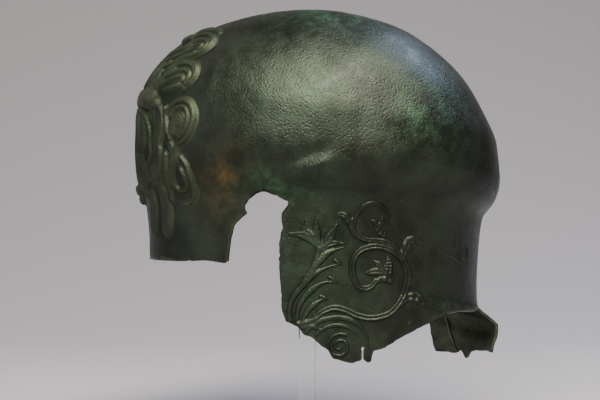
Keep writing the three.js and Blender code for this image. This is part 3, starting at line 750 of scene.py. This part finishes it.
@dataclass
class GridSheet:
    """A sheet over a grid of two parameters, trimmed to where a signed value is positive."""

    first: Array
    second: Array
    keep: Array
    wraps: bool = False

    def snapped(self) -> tuple[Array, Array, Array]:
        """Grid parameters whose nearer vertex is moved on to the edge wherever a grid line crosses it.

        Along a grid line the edge lies at the share s / (s - s_next) of the way to the next vertex.

        Returns:
            First and second parameters, and the signed value, zero on the moved vertices.
        """
        best = np.full(self.keep.shape, 0.5)
        move = np.zeros((2, *self.keep.shape))
        moved = np.zeros(self.keep.shape, bool)
        for axis, shift in ((0, -1), (0, 1), (1, -1), (1, 1)):
            other = np.roll(self.keep, shift, axis)
            delta = [np.roll(values, shift, axis) - values for values in (self.first, self.second)]
            if self.wraps:
                delta[0] = (delta[0] + math.pi) % (2 * math.pi) - math.pi
            crosses = self.keep * other < 0
            if axis == 0 or not self.wraps:
                edge = [slice(None), slice(None)]
                edge[axis] = -1 if shift == -1 else 0
                crosses[tuple(edge)] = False
            share = np.where(crosses, self.keep / np.where(crosses, self.keep - other, 1.0), 1.0)
            take = share <= best
            best = np.where(take, share, best)
            moved |= take
            move = np.where(take, np.stack(delta) * share, move)
        return self.first + move[0], self.second + move[1], np.where(moved, 0.0, self.keep)

    def faces(self, value: Array) -> tuple[Array, Array]:
        """Quads and triangles of the part of the grid that is kept.

        Args:
            value: Signed value of each vertex after snapping.

        Returns:
            Corner numbers of the quads and of the triangles.
        """
        rows, columns = value.shape
        index = np.arange(rows * columns).reshape(rows, columns)
        beside = np.roll(index, -1, 1) if self.wraps else index[:, 1:]
        here = index if self.wraps else index[:, :-1]
        cells = np.stack([here[:-1], here[1:], beside[1:], beside[:-1]], -1).reshape(-1, 4)
        level = value.ravel()[cells]
        held = level >= 0
        quads = cells[held.all(1) & (level.max(1) > 0)]
        three = (held.sum(1) == 3) & (np.where(held, level, 0).max(1) > 0)
        gone = held[three].argmin(1)
        order = (gone[:, None] + np.array([1, 2, 3])) % 4
        return quads, np.take_along_axis(cells[three], order, 1)


@dataclass
class MeshParts:
    """Vertices, faces and the per-vertex attribute of one piece."""

    points: Array
    quads: Array
    triangles: Array
    tint: Array

    def to_object(self, name: str) -> bpy.types.Object:
        """Put the piece into a mesh object at the origin, leaving out vertices without a face.

        Args:
            name: Name of the object.

        Returns:
            The linked object.
        """
        used = np.zeros(len(self.points), bool)
        used[self.quads.ravel()] = True
        used[self.triangles.ravel()] = True
        renumber = np.cumsum(used) - 1
        corners = np.concatenate([renumber[self.quads].ravel(), renumber[self.triangles].ravel()])
        totals = np.concatenate([np.full(len(self.quads), 4), np.full(len(self.triangles), 3)])
        mesh = bpy.data.meshes.new(name)
        mesh.vertices.add(int(used.sum()))
        mesh.vertices.foreach_set("co", (self.points[used] * MM).ravel())
        mesh.loops.add(len(corners))
        mesh.loops.foreach_set("vertex_index", corners.astype(np.int32))
        mesh.polygons.add(len(totals))
        mesh.polygons.foreach_set("loop_start", (np.cumsum(totals) - totals).astype(np.int32))
        mesh.polygons.foreach_set("use_smooth", np.ones(len(totals), bool))
        mesh.update(calc_edges=True)
        mesh.validate()
        tint = mesh.attributes.new("patina", "FLOAT_COLOR", "POINT")
        tint.data.foreach_set("color", self.tint[used].astype(np.float32).ravel())
        piece = bpy.data.objects.new(name, mesh)
        bpy.context.scene.collection.objects.link(piece)
        return piece


# The inside has fewer copper salts than the outside, and a pale share of painted light for its shaded hollow
INNER_SHARES = np.array([0.4, 1.0, 0.0, 1.0])
INNER_PAINTED_LIGHT = np.array([0.0, 0.0, 0.5, 0.0])


def walled(outer: Array, inner: Array, quads: Array, triangles: Array, tint: Array) -> MeshParts:
    """Close a trimmed sheet: the outer face, the inner face turned round, and a strip along the free edges.

    A free edge is one that belongs to a single face.

    Args:
        outer: Vertices of the outer face.
        inner: Vertices of the inner face, in the same order.
        quads: Quads of the outer face.
        triangles: Triangles of the outer face.
        tint: Attribute of the outer vertices.

    Returns:
        The closed piece.
    """
    count = len(outer)
    runs = [np.stack([faces, np.roll(faces, -1, 1)], -1).reshape(-1, 2) for faces in (quads, triangles)]
    edges = np.vstack(runs)
    key = edges.min(1) * count + edges.max(1)
    _, first, times = np.unique(key, return_index=True, return_counts=True)
    free = edges[first[times == 1]]
    strip = np.stack([free[:, 1], free[:, 0], free[:, 0] + count, free[:, 1] + count], -1)
    quads_all = np.vstack([quads, quads[:, ::-1] + count, strip])
    triangles_all = np.vstack([triangles, triangles[:, ::-1] + count])
    # Painted light: the inner face is made paler so that its shaded hollow reads lighter
    inner_tint = tint * INNER_SHARES + INNER_PAINTED_LIGHT
    return MeshParts(np.vstack([outer, inner]), quads_all, triangles_all, np.vstack([tint, inner_tint]))


def add_node(tree: bpy.types.NodeTree, kind: str, settings: dict | None = None,
             inputs: dict | None = None) -> bpy.types.Node:
    """Add one shader node with its settings, socket values and links.

    Args:
        tree: Node tree of the material.
        kind: Node type name.
        settings: Node properties by name.
        inputs: Socket values or output sockets to link, by input name or number.

    Returns:
        The node.
    """
    made = tree.nodes.new(kind)
    for key, value in (settings or {}).items():
        setattr(made, key, value)
    for key, value in (inputs or {}).items():
        if isinstance(value, bpy.types.NodeSocket):
            tree.links.new(value, made.inputs[key])
        else:
            made.inputs[key].default_value = value
    return made


def new_material(name: str) -> tuple[bpy.types.Material, bpy.types.NodeTree]:
    """Make a material with an empty node tree.

    Args:
        name: Name of the material.

    Returns:
        The material and its tree.
    """
    material = bpy.data.materials.new(name)
    material.use_nodes = True
    material.node_tree.nodes.clear()
    return material, material.node_tree


class PatinaLayer(NamedTuple):
    """One colour laid over those below, where a noise pattern rises from low to high.

    Least is the part of the share that is left where the pattern is low. The share is fixed or comes from the
    piece's attribute.
    """

    name: str
    pattern: str
    low: float
    high: float
    least: float
    share: float | Blend
    colour: str


PATINA_LAYERS = tuple(map(PatinaLayer._make, (
    ("clouds", "cloud", 0.35, 0.68, 0.0, 1.0, "mid"),
    ("mottling", "mottle", 0.5, 0.72, 0.0, 0.45, "mid"),
    ("copper salts", "mottle", 0.38, 0.62, 0.25, Blend.VERDIGRIS, "verdigris"),
    ("earth stain", "mottle", 0.35, 0.6, 0.35, Blend.EARTH, "earth"),
    # Paler colour laid by the attribute: rubbed metal and painted highlight on crests and edge, painted light
    # inside
    ("worn crests", "mottle", 0.3, 0.62, 0.3, Blend.WORN, "worn"),
    ("dark grain", "grain", 0.5, 0.3, 0.0, 0.35, "dark"),
    ("pale specks", "speck", 0.68, 0.8, 0.0, 0.3, "worn"),
)))


@dataclass(frozen=True)
class PatinatedBronze:
    """Hammered bronze sheet under a dark mineral patina, long buried and then waxed.

    The eye sees an olive-black skin with a soft broad sheen, a fine grain of corrosion pits, green where
    copper salts remain, brown where earth has stained it, and a paler colour that is partly rubbed metal
    and partly painted highlight on the crests and the broken edge, and painted light on the inner face.
    """

    name: str = "patinated_bronze"
    dark: str = "1d221c"
    mid: str = "2c332a"
    verdigris: str = "35503c"
    earth: str = "5d4a28"
    # Pale colour of rubbed metal, of painted highlight and of painted light
    worn: str = "6c6f5a"
    cloud_mm: float = 32.0
    mottle_mm: float = 7.0
    grain_mm: float = 1.3
    pit_mm: float = 2.2
    speck_mm: float = 2.6
    metallic: float = 0.82
    smooth: float = 0.38
    rough: float = 0.5
    grain_depth: float = 0.0004
    grain_strength: float = 0.55
    pit_share: float = 0.5

    def material(self) -> bpy.types.Material:
        """Build the material.

        Returns:
            The finished material.
        """
        material, tree = new_material(self.name)
        eased = {"interpolation_type": "SMOOTHSTEP"}
        place = add_node(tree, "ShaderNodeTexCoord").outputs["Object"]
        tint = add_node(tree, "ShaderNodeAttribute", {"attribute_name": "patina"})
        parts = add_node(tree, "ShaderNodeSeparateColor", None, {"Color": tint.outputs["Color"]})
        patterns = {}
        sizes = (("cloud", self.cloud_mm, 3.0, 0.6), ("mottle", self.mottle_mm, 4.0, 0.65),
                 ("grain", self.grain_mm, 3.0, 0.6), ("speck", self.speck_mm, 2.0, 0.7))
        for name, size_mm, detail, rough in sizes:
            noise = add_node(tree, "ShaderNodeTexNoise", None, {
                "Vector": place, "Scale": 1 / (size_mm * MM), "Detail": detail, "Roughness": rough})
            patterns[name] = noise.outputs["Fac"]
        colour = linear(self.dark)
        for layer in PATINA_LAYERS:
            where = add_node(tree, "ShaderNodeMapRange", eased, {
                "Value": patterns[layer.pattern], "From Min": layer.low, "From Max": layer.high,
                "To Min": layer.least, "To Max": 1.0})
            share = parts.outputs[layer.share.value] if isinstance(layer.share, Blend) else layer.share
            amount = add_node(tree, "ShaderNodeMath", {"operation": "MULTIPLY"}, {
                0: where.outputs["Result"], 1: share})
            laid = add_node(tree, "ShaderNodeMix", {"data_type": "RGBA"}, {
                0: amount.outputs[0], 6: colour, 7: linear(getattr(self, layer.colour))})
            colour = laid.outputs[2]
        sheen = add_node(tree, "ShaderNodeMapRange", eased, {
            "Value": patterns["mottle"], "From Min": 0.3, "From Max": 0.7,
            "To Min": self.smooth, "To Max": self.rough})
        pits = add_node(tree, "ShaderNodeTexVoronoi", None, {
            "Vector": place, "Scale": 1 / (self.pit_mm * MM)})
        shaft = add_node(tree, "ShaderNodeMapRange", eased, {
            "Value": pits.outputs["Distance"], "From Max": 0.5, "To Max": self.pit_share})
        relief = add_node(tree, "ShaderNodeMath", {"operation": "ADD"}, {
            0: patterns["grain"], 1: shaft.outputs["Result"]})
        bump = add_node(tree, "ShaderNodeBump", None, {
            "Height": relief.outputs[0], "Strength": self.grain_strength, "Distance": self.grain_depth})
        shader = add_node(tree, "ShaderNodeBsdfPrincipled", None, {
            "Base Color": colour, "Metallic": self.metallic, "Roughness": sheen.outputs["Result"],
            "Normal": bump.outputs[0]})
        add_node(tree, "ShaderNodeOutputMaterial", None, {"Surface": shader.outputs[0]})
        return material


@dataclass(frozen=True)
class CastAcrylic:
    """Clear cast acrylic with polished faces: the eye sees through it, past bright edges and faint haze."""

    name: str = "cast_acrylic"
    tone: str = "f4f7f7"
    haze_mm: float = 4.0
    polished: float = 0.02
    hazy: float = 0.12
    refraction: float = 1.49

    def material(self) -> bpy.types.Material:
        """Build the material.

        Returns:
            The finished material.
        """
        material, tree = new_material(self.name)
        place = add_node(tree, "ShaderNodeTexCoord").outputs["Object"]
        haze = add_node(tree, "ShaderNodeTexNoise", None, {
            "Vector": place, "Scale": 1 / (self.haze_mm * MM), "Detail": 4.0})
        polish = add_node(tree, "ShaderNodeMapRange", None, {
            "Value": haze.outputs["Fac"], "From Min": 0.4, "From Max": 0.75,
            "To Min": self.polished, "To Max": self.hazy})
        shader = add_node(tree, "ShaderNodeBsdfPrincipled", None, {
            "Base Color": linear(self.tone), "Roughness": polish.outputs["Result"],
            "IOR": self.refraction, "Transmission Weight": 1.0})
        add_node(tree, "ShaderNodeOutputMaterial", None, {"Surface": shader.outputs[0]})
        return material


@dataclass(frozen=True)
class MattWallPaint:
    """Matt paint of floor and backdrop: the eye sees an even pale grey without shine."""

    name: str = "matt_wall_paint"
    tone: str = "a19ea1"
    rough: float = 0.9

    def material(self) -> bpy.types.Material:
        """Build the material.

        Returns:
            The finished material.
        """
        material, tree = new_material(self.name)
        shader = add_node(tree, "ShaderNodeBsdfPrincipled", None, {
            "Base Color": linear(self.tone), "Roughness": self.rough})
        add_node(tree, "ShaderNodeOutputMaterial", None, {"Surface": shader.outputs[0]})
        return material


def finish_piece(piece: bpy.types.Object, material: bpy.types.Material, slot: str, *nodes: str) -> None:
    """Dress a piece, let it ride on the body, and hide the CAD nodes that it stands for.

    Args:
        piece: The piece.
        material: Its material.
        slot: Slot of the record for its finish; not used.
        nodes: CAD nodes that it replaces.
    """
    piece.data.materials.append(material)
    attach(piece, BODY)
    for node in nodes:
        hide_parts(node)
    LOG.info("%s: %d faces", piece.name, len(piece.data.polygons))


@dataclass(frozen=True)
class Stain:
    """A patch of colour on the bronze around a place."""

    y: float
    z: float
    reach_y: float
    reach_z: float
    strength: float

    def share(self, place: Array) -> Array:
        """Share of the stain: a bell curve around its place in side view, alike on both sides."""
        away = ((place[..., 1] - self.y) / self.reach_y) ** 2 + ((place[..., 2] - self.z) / self.reach_z) ** 2
        return self.strength * np.exp(-away)


VERDIGRIS_STAINS = (
    Stain(10, 288, 45, 10, 0.9),
    Stain(66, 222, 20, 22, 0.7),
    Stain(-32, 172, 34, 14, 0.65),
    Stain(-20, 225, 30, 30, 0.25),
    Stain(-10, 120, 30, 45, 0.35),
)
EARTH_STAINS = (
    Stain(-63, 176, 14, 22, 0.36),
    Stain(-61, 180, 5, 6, 0.35),
)


def stain_tint(place: Array, worn: Array | float = 0.0) -> Array:
    """Attribute of each vertex: verdigris and earth shares, and a pale share of rubbed metal and painted
    highlight.

    Args:
        place: Places on the helmet.
        worn: Share of paler colour, partly rubbed metal and partly painted highlight.

    Returns:
        Four values for each place.
    """
    patchy = 0.75 + 0.35 * wavy(place, wavelength=22.0, seed=31)
    green = sum(stain.share(place) for stain in VERDIGRIS_STAINS) * patchy
    brown = sum(stain.share(place) for stain in EARTH_STAINS) * patchy
    wear_and_highlight_share = np.broadcast_to(worn, green.shape)
    return np.clip(np.stack([green, brown, wear_and_highlight_share, np.ones_like(green)], -1), 0, 1)


@dataclass
class BronzeShell:
    """The helmet's sheet: bowl, brow, side panels and nape, trimmed along its cut and broken edges."""

    form: HelmetForm
    wall: float = 1.9
    turns: int = 330
    pitch: float = 2.3
    rim_pitch: float = 0.8
    rim_level: float = 78.0
    slot_range: tuple[float, float] = (23.0, 36.0)
    slot_pitch: float = 0.4
    slot_height: float = 68.0
    first_row: float = 0.1
    break_plane: float = 8.0
    flare_from: float = 60.0
    # Pale band along the broken edge: partly rubbed metal, partly painted highlight of the edge catching
    # light
    rim_wear_and_highlight: float = 0.2
    rim_wear_and_highlight_width: float = 1.2

    def edge_distance(self, place: Array) -> Array:
        """Signed distance from the sheet's lower edge, positive inside.

        The flare survives on the right side and just past the middle of the back, and the right ear opening
        is a little wider.

        Args:
            place: Places on the outer surface.

        Returns:
            Distances.
        """
        x, y, z = np.moveaxis(place, -1, 0)
        left = edge_of(Side.LEFT).above(y, z)
        right = edge_of(Side.RIGHT).above(y, z)
        flare = np.where(y > self.flare_from, np.minimum(right, self.break_plane - x), -1e3)
        return np.where(x > 0, np.maximum(left, flare), right)

    def grid_turns(self) -> Array:
        """Even turns, with closer ones over the keyhole slot of each side.

        Returns:
            Turns in rising order, in radians.
        """
        slot = np.arange(*self.slot_range, self.slot_pitch)
        close, _ = self.form.from_side(slot, np.full_like(slot, self.slot_height), Side.LEFT)
        even = np.linspace(0, 2 * math.pi, self.turns, endpoint=False)
        return np.unique(np.concatenate([even, close, 2 * math.pi - close]))

    def grid_rows(self) -> Array:
        """Rows at even lengths down the side, closer below the level where the rim breaks.

        Returns:
            Fractional rows from the crown down.
        """
        fine = np.linspace(self.first_row, len(SECTIONS) - 1, 2001)
        side = self.form.plain(np.full_like(fine, math.pi / 2), fine)
        step = np.linalg.norm(np.diff(side, axis=0), axis=1)
        pitch = np.where(side[1:, 2] > self.rim_level, self.pitch, self.rim_pitch)
        count = np.concatenate([[0.0], np.cumsum(step / pitch)])
        return np.interp(np.linspace(0, count[-1], int(count[-1]) + 1), count, fine)

    def build(self) -> bpy.types.Object:
        """Trim the surface grid to the edges and give it a wall.

        Returns:
            The piece.
        """
        last = len(SECTIONS) - 1.0
        turns, rows = np.meshgrid(self.grid_turns(), self.grid_rows())
        value = self.edge_distance(self.form.place(turns, rows))
        sheet = GridSheet(turns, rows, value, wraps=True)
        turns, rows, value = sheet.snapped()
        rows = np.clip(rows, self.first_row, last)
        outer = self.form.place(turns, rows)
        inner = self.form.place(turns, rows, -self.wall)
        quads, triangles = sheet.faces(value)
        # Painted highlight along the broken edge, together with rubbed metal
        rim = np.clip(1 - value / self.rim_wear_and_highlight_width, 0, 1) * self.rim_wear_and_highlight
        tint = stain_tint(outer, rim).reshape(-1, 4)
        around = outer.shape[1]
        outer, inner = outer.reshape(-1, 3), inner.reshape(-1, 3)
        parts = walled(outer, inner, quads, triangles, tint)
        return self.with_crown(parts, len(outer), around).to_object("helmet_bowl_and_guards")

    def with_crown(self, parts: MeshParts, count: int, around: int) -> MeshParts:
        """Close the small hole at the apex: a fan on each face in place of the strip between them.

        Args:
            parts: The walled sheet.
            count: Number of vertices on one face.
            around: Number of vertices in its first ring.

        Returns:
            The sheet with a closed crown.
        """
        ring = np.arange(around)
        after = np.roll(ring, -1)
        at_top = (parts.quads % count < around).all(1)
        crown = len(parts.points) + np.zeros(around, int)
        over = np.stack([crown, ring, after], -1)
        under = np.stack([crown + 1, after + count, ring + count], -1)
        top = np.stack([parts.points[ring].mean(0), parts.points[ring + count].mean(0)])
        return MeshParts(np.vstack([parts.points, top]), parts.quads[~at_top],
                         np.vstack([parts.triangles, over, under]),
                         np.vstack([parts.tint, parts.tint[:1], parts.tint[:1]]))


@dataclass
class Relief:
    """Raised ornament: strokes over a flat grid, bent on to the helmet and trimmed to their outlines.

    It lies on the outer face, or on a face at another base level and with another facing.
    """

    form: HelmetForm
    name: str
    strokes: tuple[Stroke, ...]
    low: tuple[float, float]
    high: tuple[float, float]
    pitch: float
    edge_lift: float
    sunk: float
    worn: float
    margin: float = 0.0
    bed: float = 0.15
    base: float = 0.0
    facing: int = 1

    def flat_grid(self) -> tuple[Array, Array]:
        """Flat coordinates of the grid, the first along columns and the second down the rows.

        Returns:
            First and second coordinates of every grid place.
        """
        first = np.arange(self.low[0], self.high[0] + self.pitch, self.pitch)
        second = np.arange(self.high[1], self.low[1] - self.pitch, -self.pitch)
        return tuple(np.meshgrid(first, second))

    def fields(self, a: Array, b: Array) -> tuple[Array, Array]:
        """Largest inside distance and largest height of all strokes at each place.

        Args:
            a: First flat coordinates.
            b: Second flat coordinates.

        Returns:
            Distance inside the outlines, and height.
        """
        inside = np.full(a.shape, -20.0)
        height = np.zeros(a.shape)
        for stroke in self.strokes:
            within, rise = stroke.field(a, b)
            inside = np.maximum(inside, within)
            height = np.maximum(height, rise)
        return inside, height

    def build(self, to_surface: FlatMap, mirrored: bool = False,
              clip: FlatDistance | None = None) -> bpy.types.Object:
        """Trim the grid to the strokes, bend it on to the helmet and close it with a sunken underside.

        Args:
            to_surface: Function from flat coordinates to turn and row.
            mirrored: Whether the second half mirrors the strokes about the first axis.
            clip: Function from flat coordinates to a signed distance that also trims the relief.

        Returns:
            The piece.
        """
        a, b = self.flat_grid()
        folded = np.abs(a) if mirrored else a
        inside = self.fields(folded, b)[0] + self.margin
        if clip is not None:
            inside = np.minimum(inside, clip(a, b))
        sheet = GridSheet(a, b, inside)
        a, b, value = sheet.snapped()
        within, height = self.fields(np.abs(a) if mirrored else a, b)
        height += self.edge_lift * smoothstep(-self.margin, 0.6, within)
        quads, triangles = sheet.faces(value)
        turn, row = to_surface(a, b)
        outer = self.form.place(turn, row, self.base + self.facing * (height - self.bed))
        inner = self.form.place(turn, row, np.full(a.shape, self.base - self.facing * self.sunk))
        # Paler crests: partly rubbed metal, partly painted highlight of the lit ridges
        crest = smoothstep(0.45, 1.0, height / max(height.max(), 1e-6)) * self.worn
        tint = stain_tint(outer, crest).reshape(-1, 4)
        across = np.cross(outer[1, 0] - outer[0, 0], outer[0, 1] - outer[0, 0])
        outward = self.form.outward(turn[:1, :1], row[:1, :1])[0, 0]
        if across @ outward * self.facing < 0:
            quads, triangles = quads[:, ::-1], triangles[:, ::-1]
        parts = walled(outer.reshape(-1, 3), inner.reshape(-1, 3), quads, triangles, tint)
        return parts.to_object(self.name)


@dataclass
class Stand:
    """Clear stand: the post gets a polished chamfer, and the base and pad keep their shapes."""

    chamfer: float = 0.7

    def build_post(self) -> bpy.types.Object:
        """Square bar with chamfered edges: an eight-sided profile carried up the post, with flat ends.

        Returns:
            The piece.
        """
        low, high = (np.array(corner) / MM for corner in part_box("stand_post"))
        middle, half = (low + high) / 2, (high - low) / 2
        inset = half[0] - self.chamfer
        profile = np.array([(half[0], -inset), (half[0], inset), (inset, half[1]), (-inset, half[1]),
                            (-half[0], inset), (-half[0], -inset), (-inset, -half[1]), (inset, -half[1])])
        levels = np.array([low[2], high[2]])
        ring = np.arange(len(profile))
        after = np.roll(ring, -1)
        rings = [np.column_stack([profile + middle[:2], np.full(len(profile), z)]) for z in levels]
        points = np.concatenate(rings)
        centres = np.array([[middle[0], middle[1], z] for z in levels])
        sides = np.stack([ring, after, after + len(profile), ring + len(profile)], -1)
        first_centre = len(points) + np.zeros(len(profile), int)
        ends = np.vstack([np.stack([first_centre, after, ring], -1),
                          np.stack([first_centre + 1, ring + len(profile), after + len(profile)], -1)])
        tint = np.zeros((len(points) + 2, 4))
        post = MeshParts(np.vstack([points, centres]), sides, ends, tint).to_object("clear_post")
        post.data.polygons.foreach_set("use_smooth", np.zeros(len(post.data.polygons), bool))
        return post

    def dress(self, acrylic: bpy.types.Material) -> None:
        """Give the CAD base and pad the clear finish.

        Args:
            acrylic: The clear material.
        """
        for name in ("stand_base", "stand_pad"):
            node = bpy.data.objects[name]
            node.data.materials.clear()
            node.data.materials.append(acrylic)
            LOG.info("%s: dressed", name)


@dataclass(frozen=True)
class SoftPanel:
    """A soft rectangular lamp that faces the bowl, with its distance and size in metres."""

    name: str
    heading: tuple[float, float, float]
    away: float
    size: tuple[float, float]
    watts: float
    colour: str
    roll: float = 0.0
    bowl: tuple[float, float, float] = (0.0, 0.0, 0.21)

    def build(self) -> None:
        """Place the lamp along its heading from the bowl, turned by its roll in degrees."""
        data = bpy.data.lights.new(self.name, "AREA")
        data.shape = "RECTANGLE"
        data.size, data.size_y = self.size
        data.energy = self.watts
        data.color = linear(self.colour)[:3]
        lamp = bpy.data.objects.new(self.name, data)
        direction = Vector(self.heading).normalized()
        lamp.location = Vector(self.bowl) + direction * self.away
        turn = (-direction).to_track_quat("-Z", "Y") @ Quaternion((0, 0, 1), math.radians(self.roll))
        lamp.rotation_euler = turn.to_euler()
        bpy.context.scene.collection.objects.link(lamp)


# A long ceiling panel over the viewer, a cool window behind, a fill from the front and a wash of the wall
PANELS = (
    SoftPanel("ceiling_panel", (0.66, 0.06, 0.75), 1.5, (0.4, 1.7), 96.0, "fff6e6", roll=-48.0),
    SoftPanel("cool_window", (-0.25, 0.56, 0.79), 1.6, (0.7, 0.5), 22.0, "c9d8ff"),
    SoftPanel("front_fill", (0.3, -0.93, 0.15), 2.0, (1.2, 1.2), 8.0, "f4f6ff"),
    SoftPanel("wall_wash", (-0.25, -0.7, 0.67), 2.2, (1.6, 1.6), 9.0, "fbf7f2"),
)


@dataclass(frozen=True)
class Studio:
    """Plain pale floor and backdrop, soft lights, and the camera at the photograph's angle.

    The floor's sizes are in metres and the camera's in millimetres.
    """

    floor_front: float = 9.0
    floor_back: float = 0.7
    bend: float = 1.6
    wall_height: float = 3.2
    half_width: float = 9.0
    room_colour: str = "d8dadd"
    room_strength: float = 0.14
    distance: float = 1000.0
    yaw: float = math.radians(2.0)
    aim: tuple[float, float, float] = (0.0, -10.6, 165.0)
    frame_width: float = 411.0
    sensor: float = 36.0

    def plain_stage(self) -> None:
        """One sheet: the floor runs flat and turns up into the backdrop through a quarter circle."""
        arc = np.linspace(0, math.pi / 2, 33)
        wall = -self.floor_back - self.bend
        far = np.concatenate([[self.floor_front], -self.floor_back - self.bend * np.sin(arc), [wall]])
        level = np.concatenate([[0.0], self.bend * (1 - np.cos(arc)), [self.wall_height]])
        sides = (-self.half_width, self.half_width)
        edges = [np.column_stack([far, np.full(len(far), y), level]) for y in sides]
        low = np.arange(len(far) - 1)
        quads = np.stack([low, low + 1, low + 1 + len(far), low + len(far)], -1)[:, ::-1]
        mesh = bpy.data.meshes.new("pale_floor")
        mesh.from_pydata(np.vstack(edges).tolist(), [], quads.tolist())
        mesh.polygons.foreach_set("use_smooth", np.ones(len(quads), bool))
        floor = bpy.data.objects.new("pale_floor", mesh)
        bpy.context.scene.collection.objects.link(floor)
        mesh.materials.append(MattWallPaint().material())

    def lights(self) -> None:
        """Soft panels in a dim room."""
        for panel in PANELS:
            panel.build()
        world = bpy.data.worlds.new("dim_room")
        world.use_nodes = True
        background = world.node_tree.nodes["Background"]
        background.inputs["Color"].default_value = linear(self.room_colour)
        background.inputs["Strength"].default_value = self.room_strength
        bpy.context.scene.world = world

    def camera(self) -> None:
        """Level camera off the helmet's left side, turned a little to the front."""
        data = bpy.data.cameras.new("camera")
        data.sensor_fit = "HORIZONTAL"
        data.sensor_width = self.sensor
        data.lens = self.sensor * self.distance / self.frame_width
        camera = bpy.data.objects.new("camera", data)
        back = Vector((math.cos(self.yaw), -math.sin(self.yaw), 0.0))
        camera.location = (Vector(self.aim) + back * self.distance) * MM
        camera.rotation_euler = (-back).to_track_quat("-Z", "Y").to_euler()
        bpy.context.scene.collection.objects.link(camera)
        bpy.context.scene.camera = camera


def main() -> None:
    """Build the pieces in order, from the sheet to the stand, and set the stage."""
    logging.basicConfig(level=logging.INFO)
    studio = Studio()
    studio.camera()
    studio.plain_stage()
    studio.lights()
    form = HelmetForm()
    bronze = PatinatedBronze().material()
    lock_bronze = PatinatedBronze(name="matt_bronze_of_the_locks", dark="272e25", mid="394132", worn="73765c",
                                  smooth=0.5, rough=0.66).material()
    # The rib's pale colour is a painted highlight of its lit edge
    rib_painted_highlight = PatinatedBronze(name="bare_metal_of_the_crack", dark="6a6c60", mid="7a7c6e").material()
    acrylic = CastAcrylic().material()
    shell = BronzeShell(form)
    finish_piece(shell.build(), bronze, "bronze", "helmet_shell")
    locks = Relief(form, "brow_locks", LOCKS, low=(-90, 136), high=(90, 298), pitch=0.68, edge_lift=0.9,
                   sunk=0.8, worn=0.22, margin=2.0)
    finish_piece(locks.build(form.from_front, mirrored=True), lock_bronze, "lock_bronze", "brow_applique")
    for side in Side:
        scroll = Relief(form, f"scroll_{side.name.lower()}", SCROLLS + NAPE_LEAF, low=(-26, 58),
                        high=(102, 168), pitch=0.6, edge_lift=0.0, sunk=1.2, worn=0.08, bed=0.3)
        piece = scroll.build(partial(form.from_side, side=side), clip=edge_of(side).trimmed)
        finish_piece(piece, bronze, "bronze", "helmet_shell")
    # Pale crest of the rib: painted highlight
    rib = Relief(form, "flare_rib", FLARE_RIB, low=(90, 52), high=(112, 92), pitch=0.4, edge_lift=0.2,
                 sunk=0.6, worn=0.9, base=-shell.wall, facing=-1)
    piece = rib.build(partial(form.from_side, side=Side.RIGHT), clip=edge_of(Side.RIGHT).trimmed)
    finish_piece(piece, rib_painted_highlight, "bronze", "helmet_shell")
    stand = Stand()
    finish_piece(stand.build_post(), acrylic, "acrylic", "stand_post")
    stand.dress(acrylic)


if __name__ == "__main__":
    main()
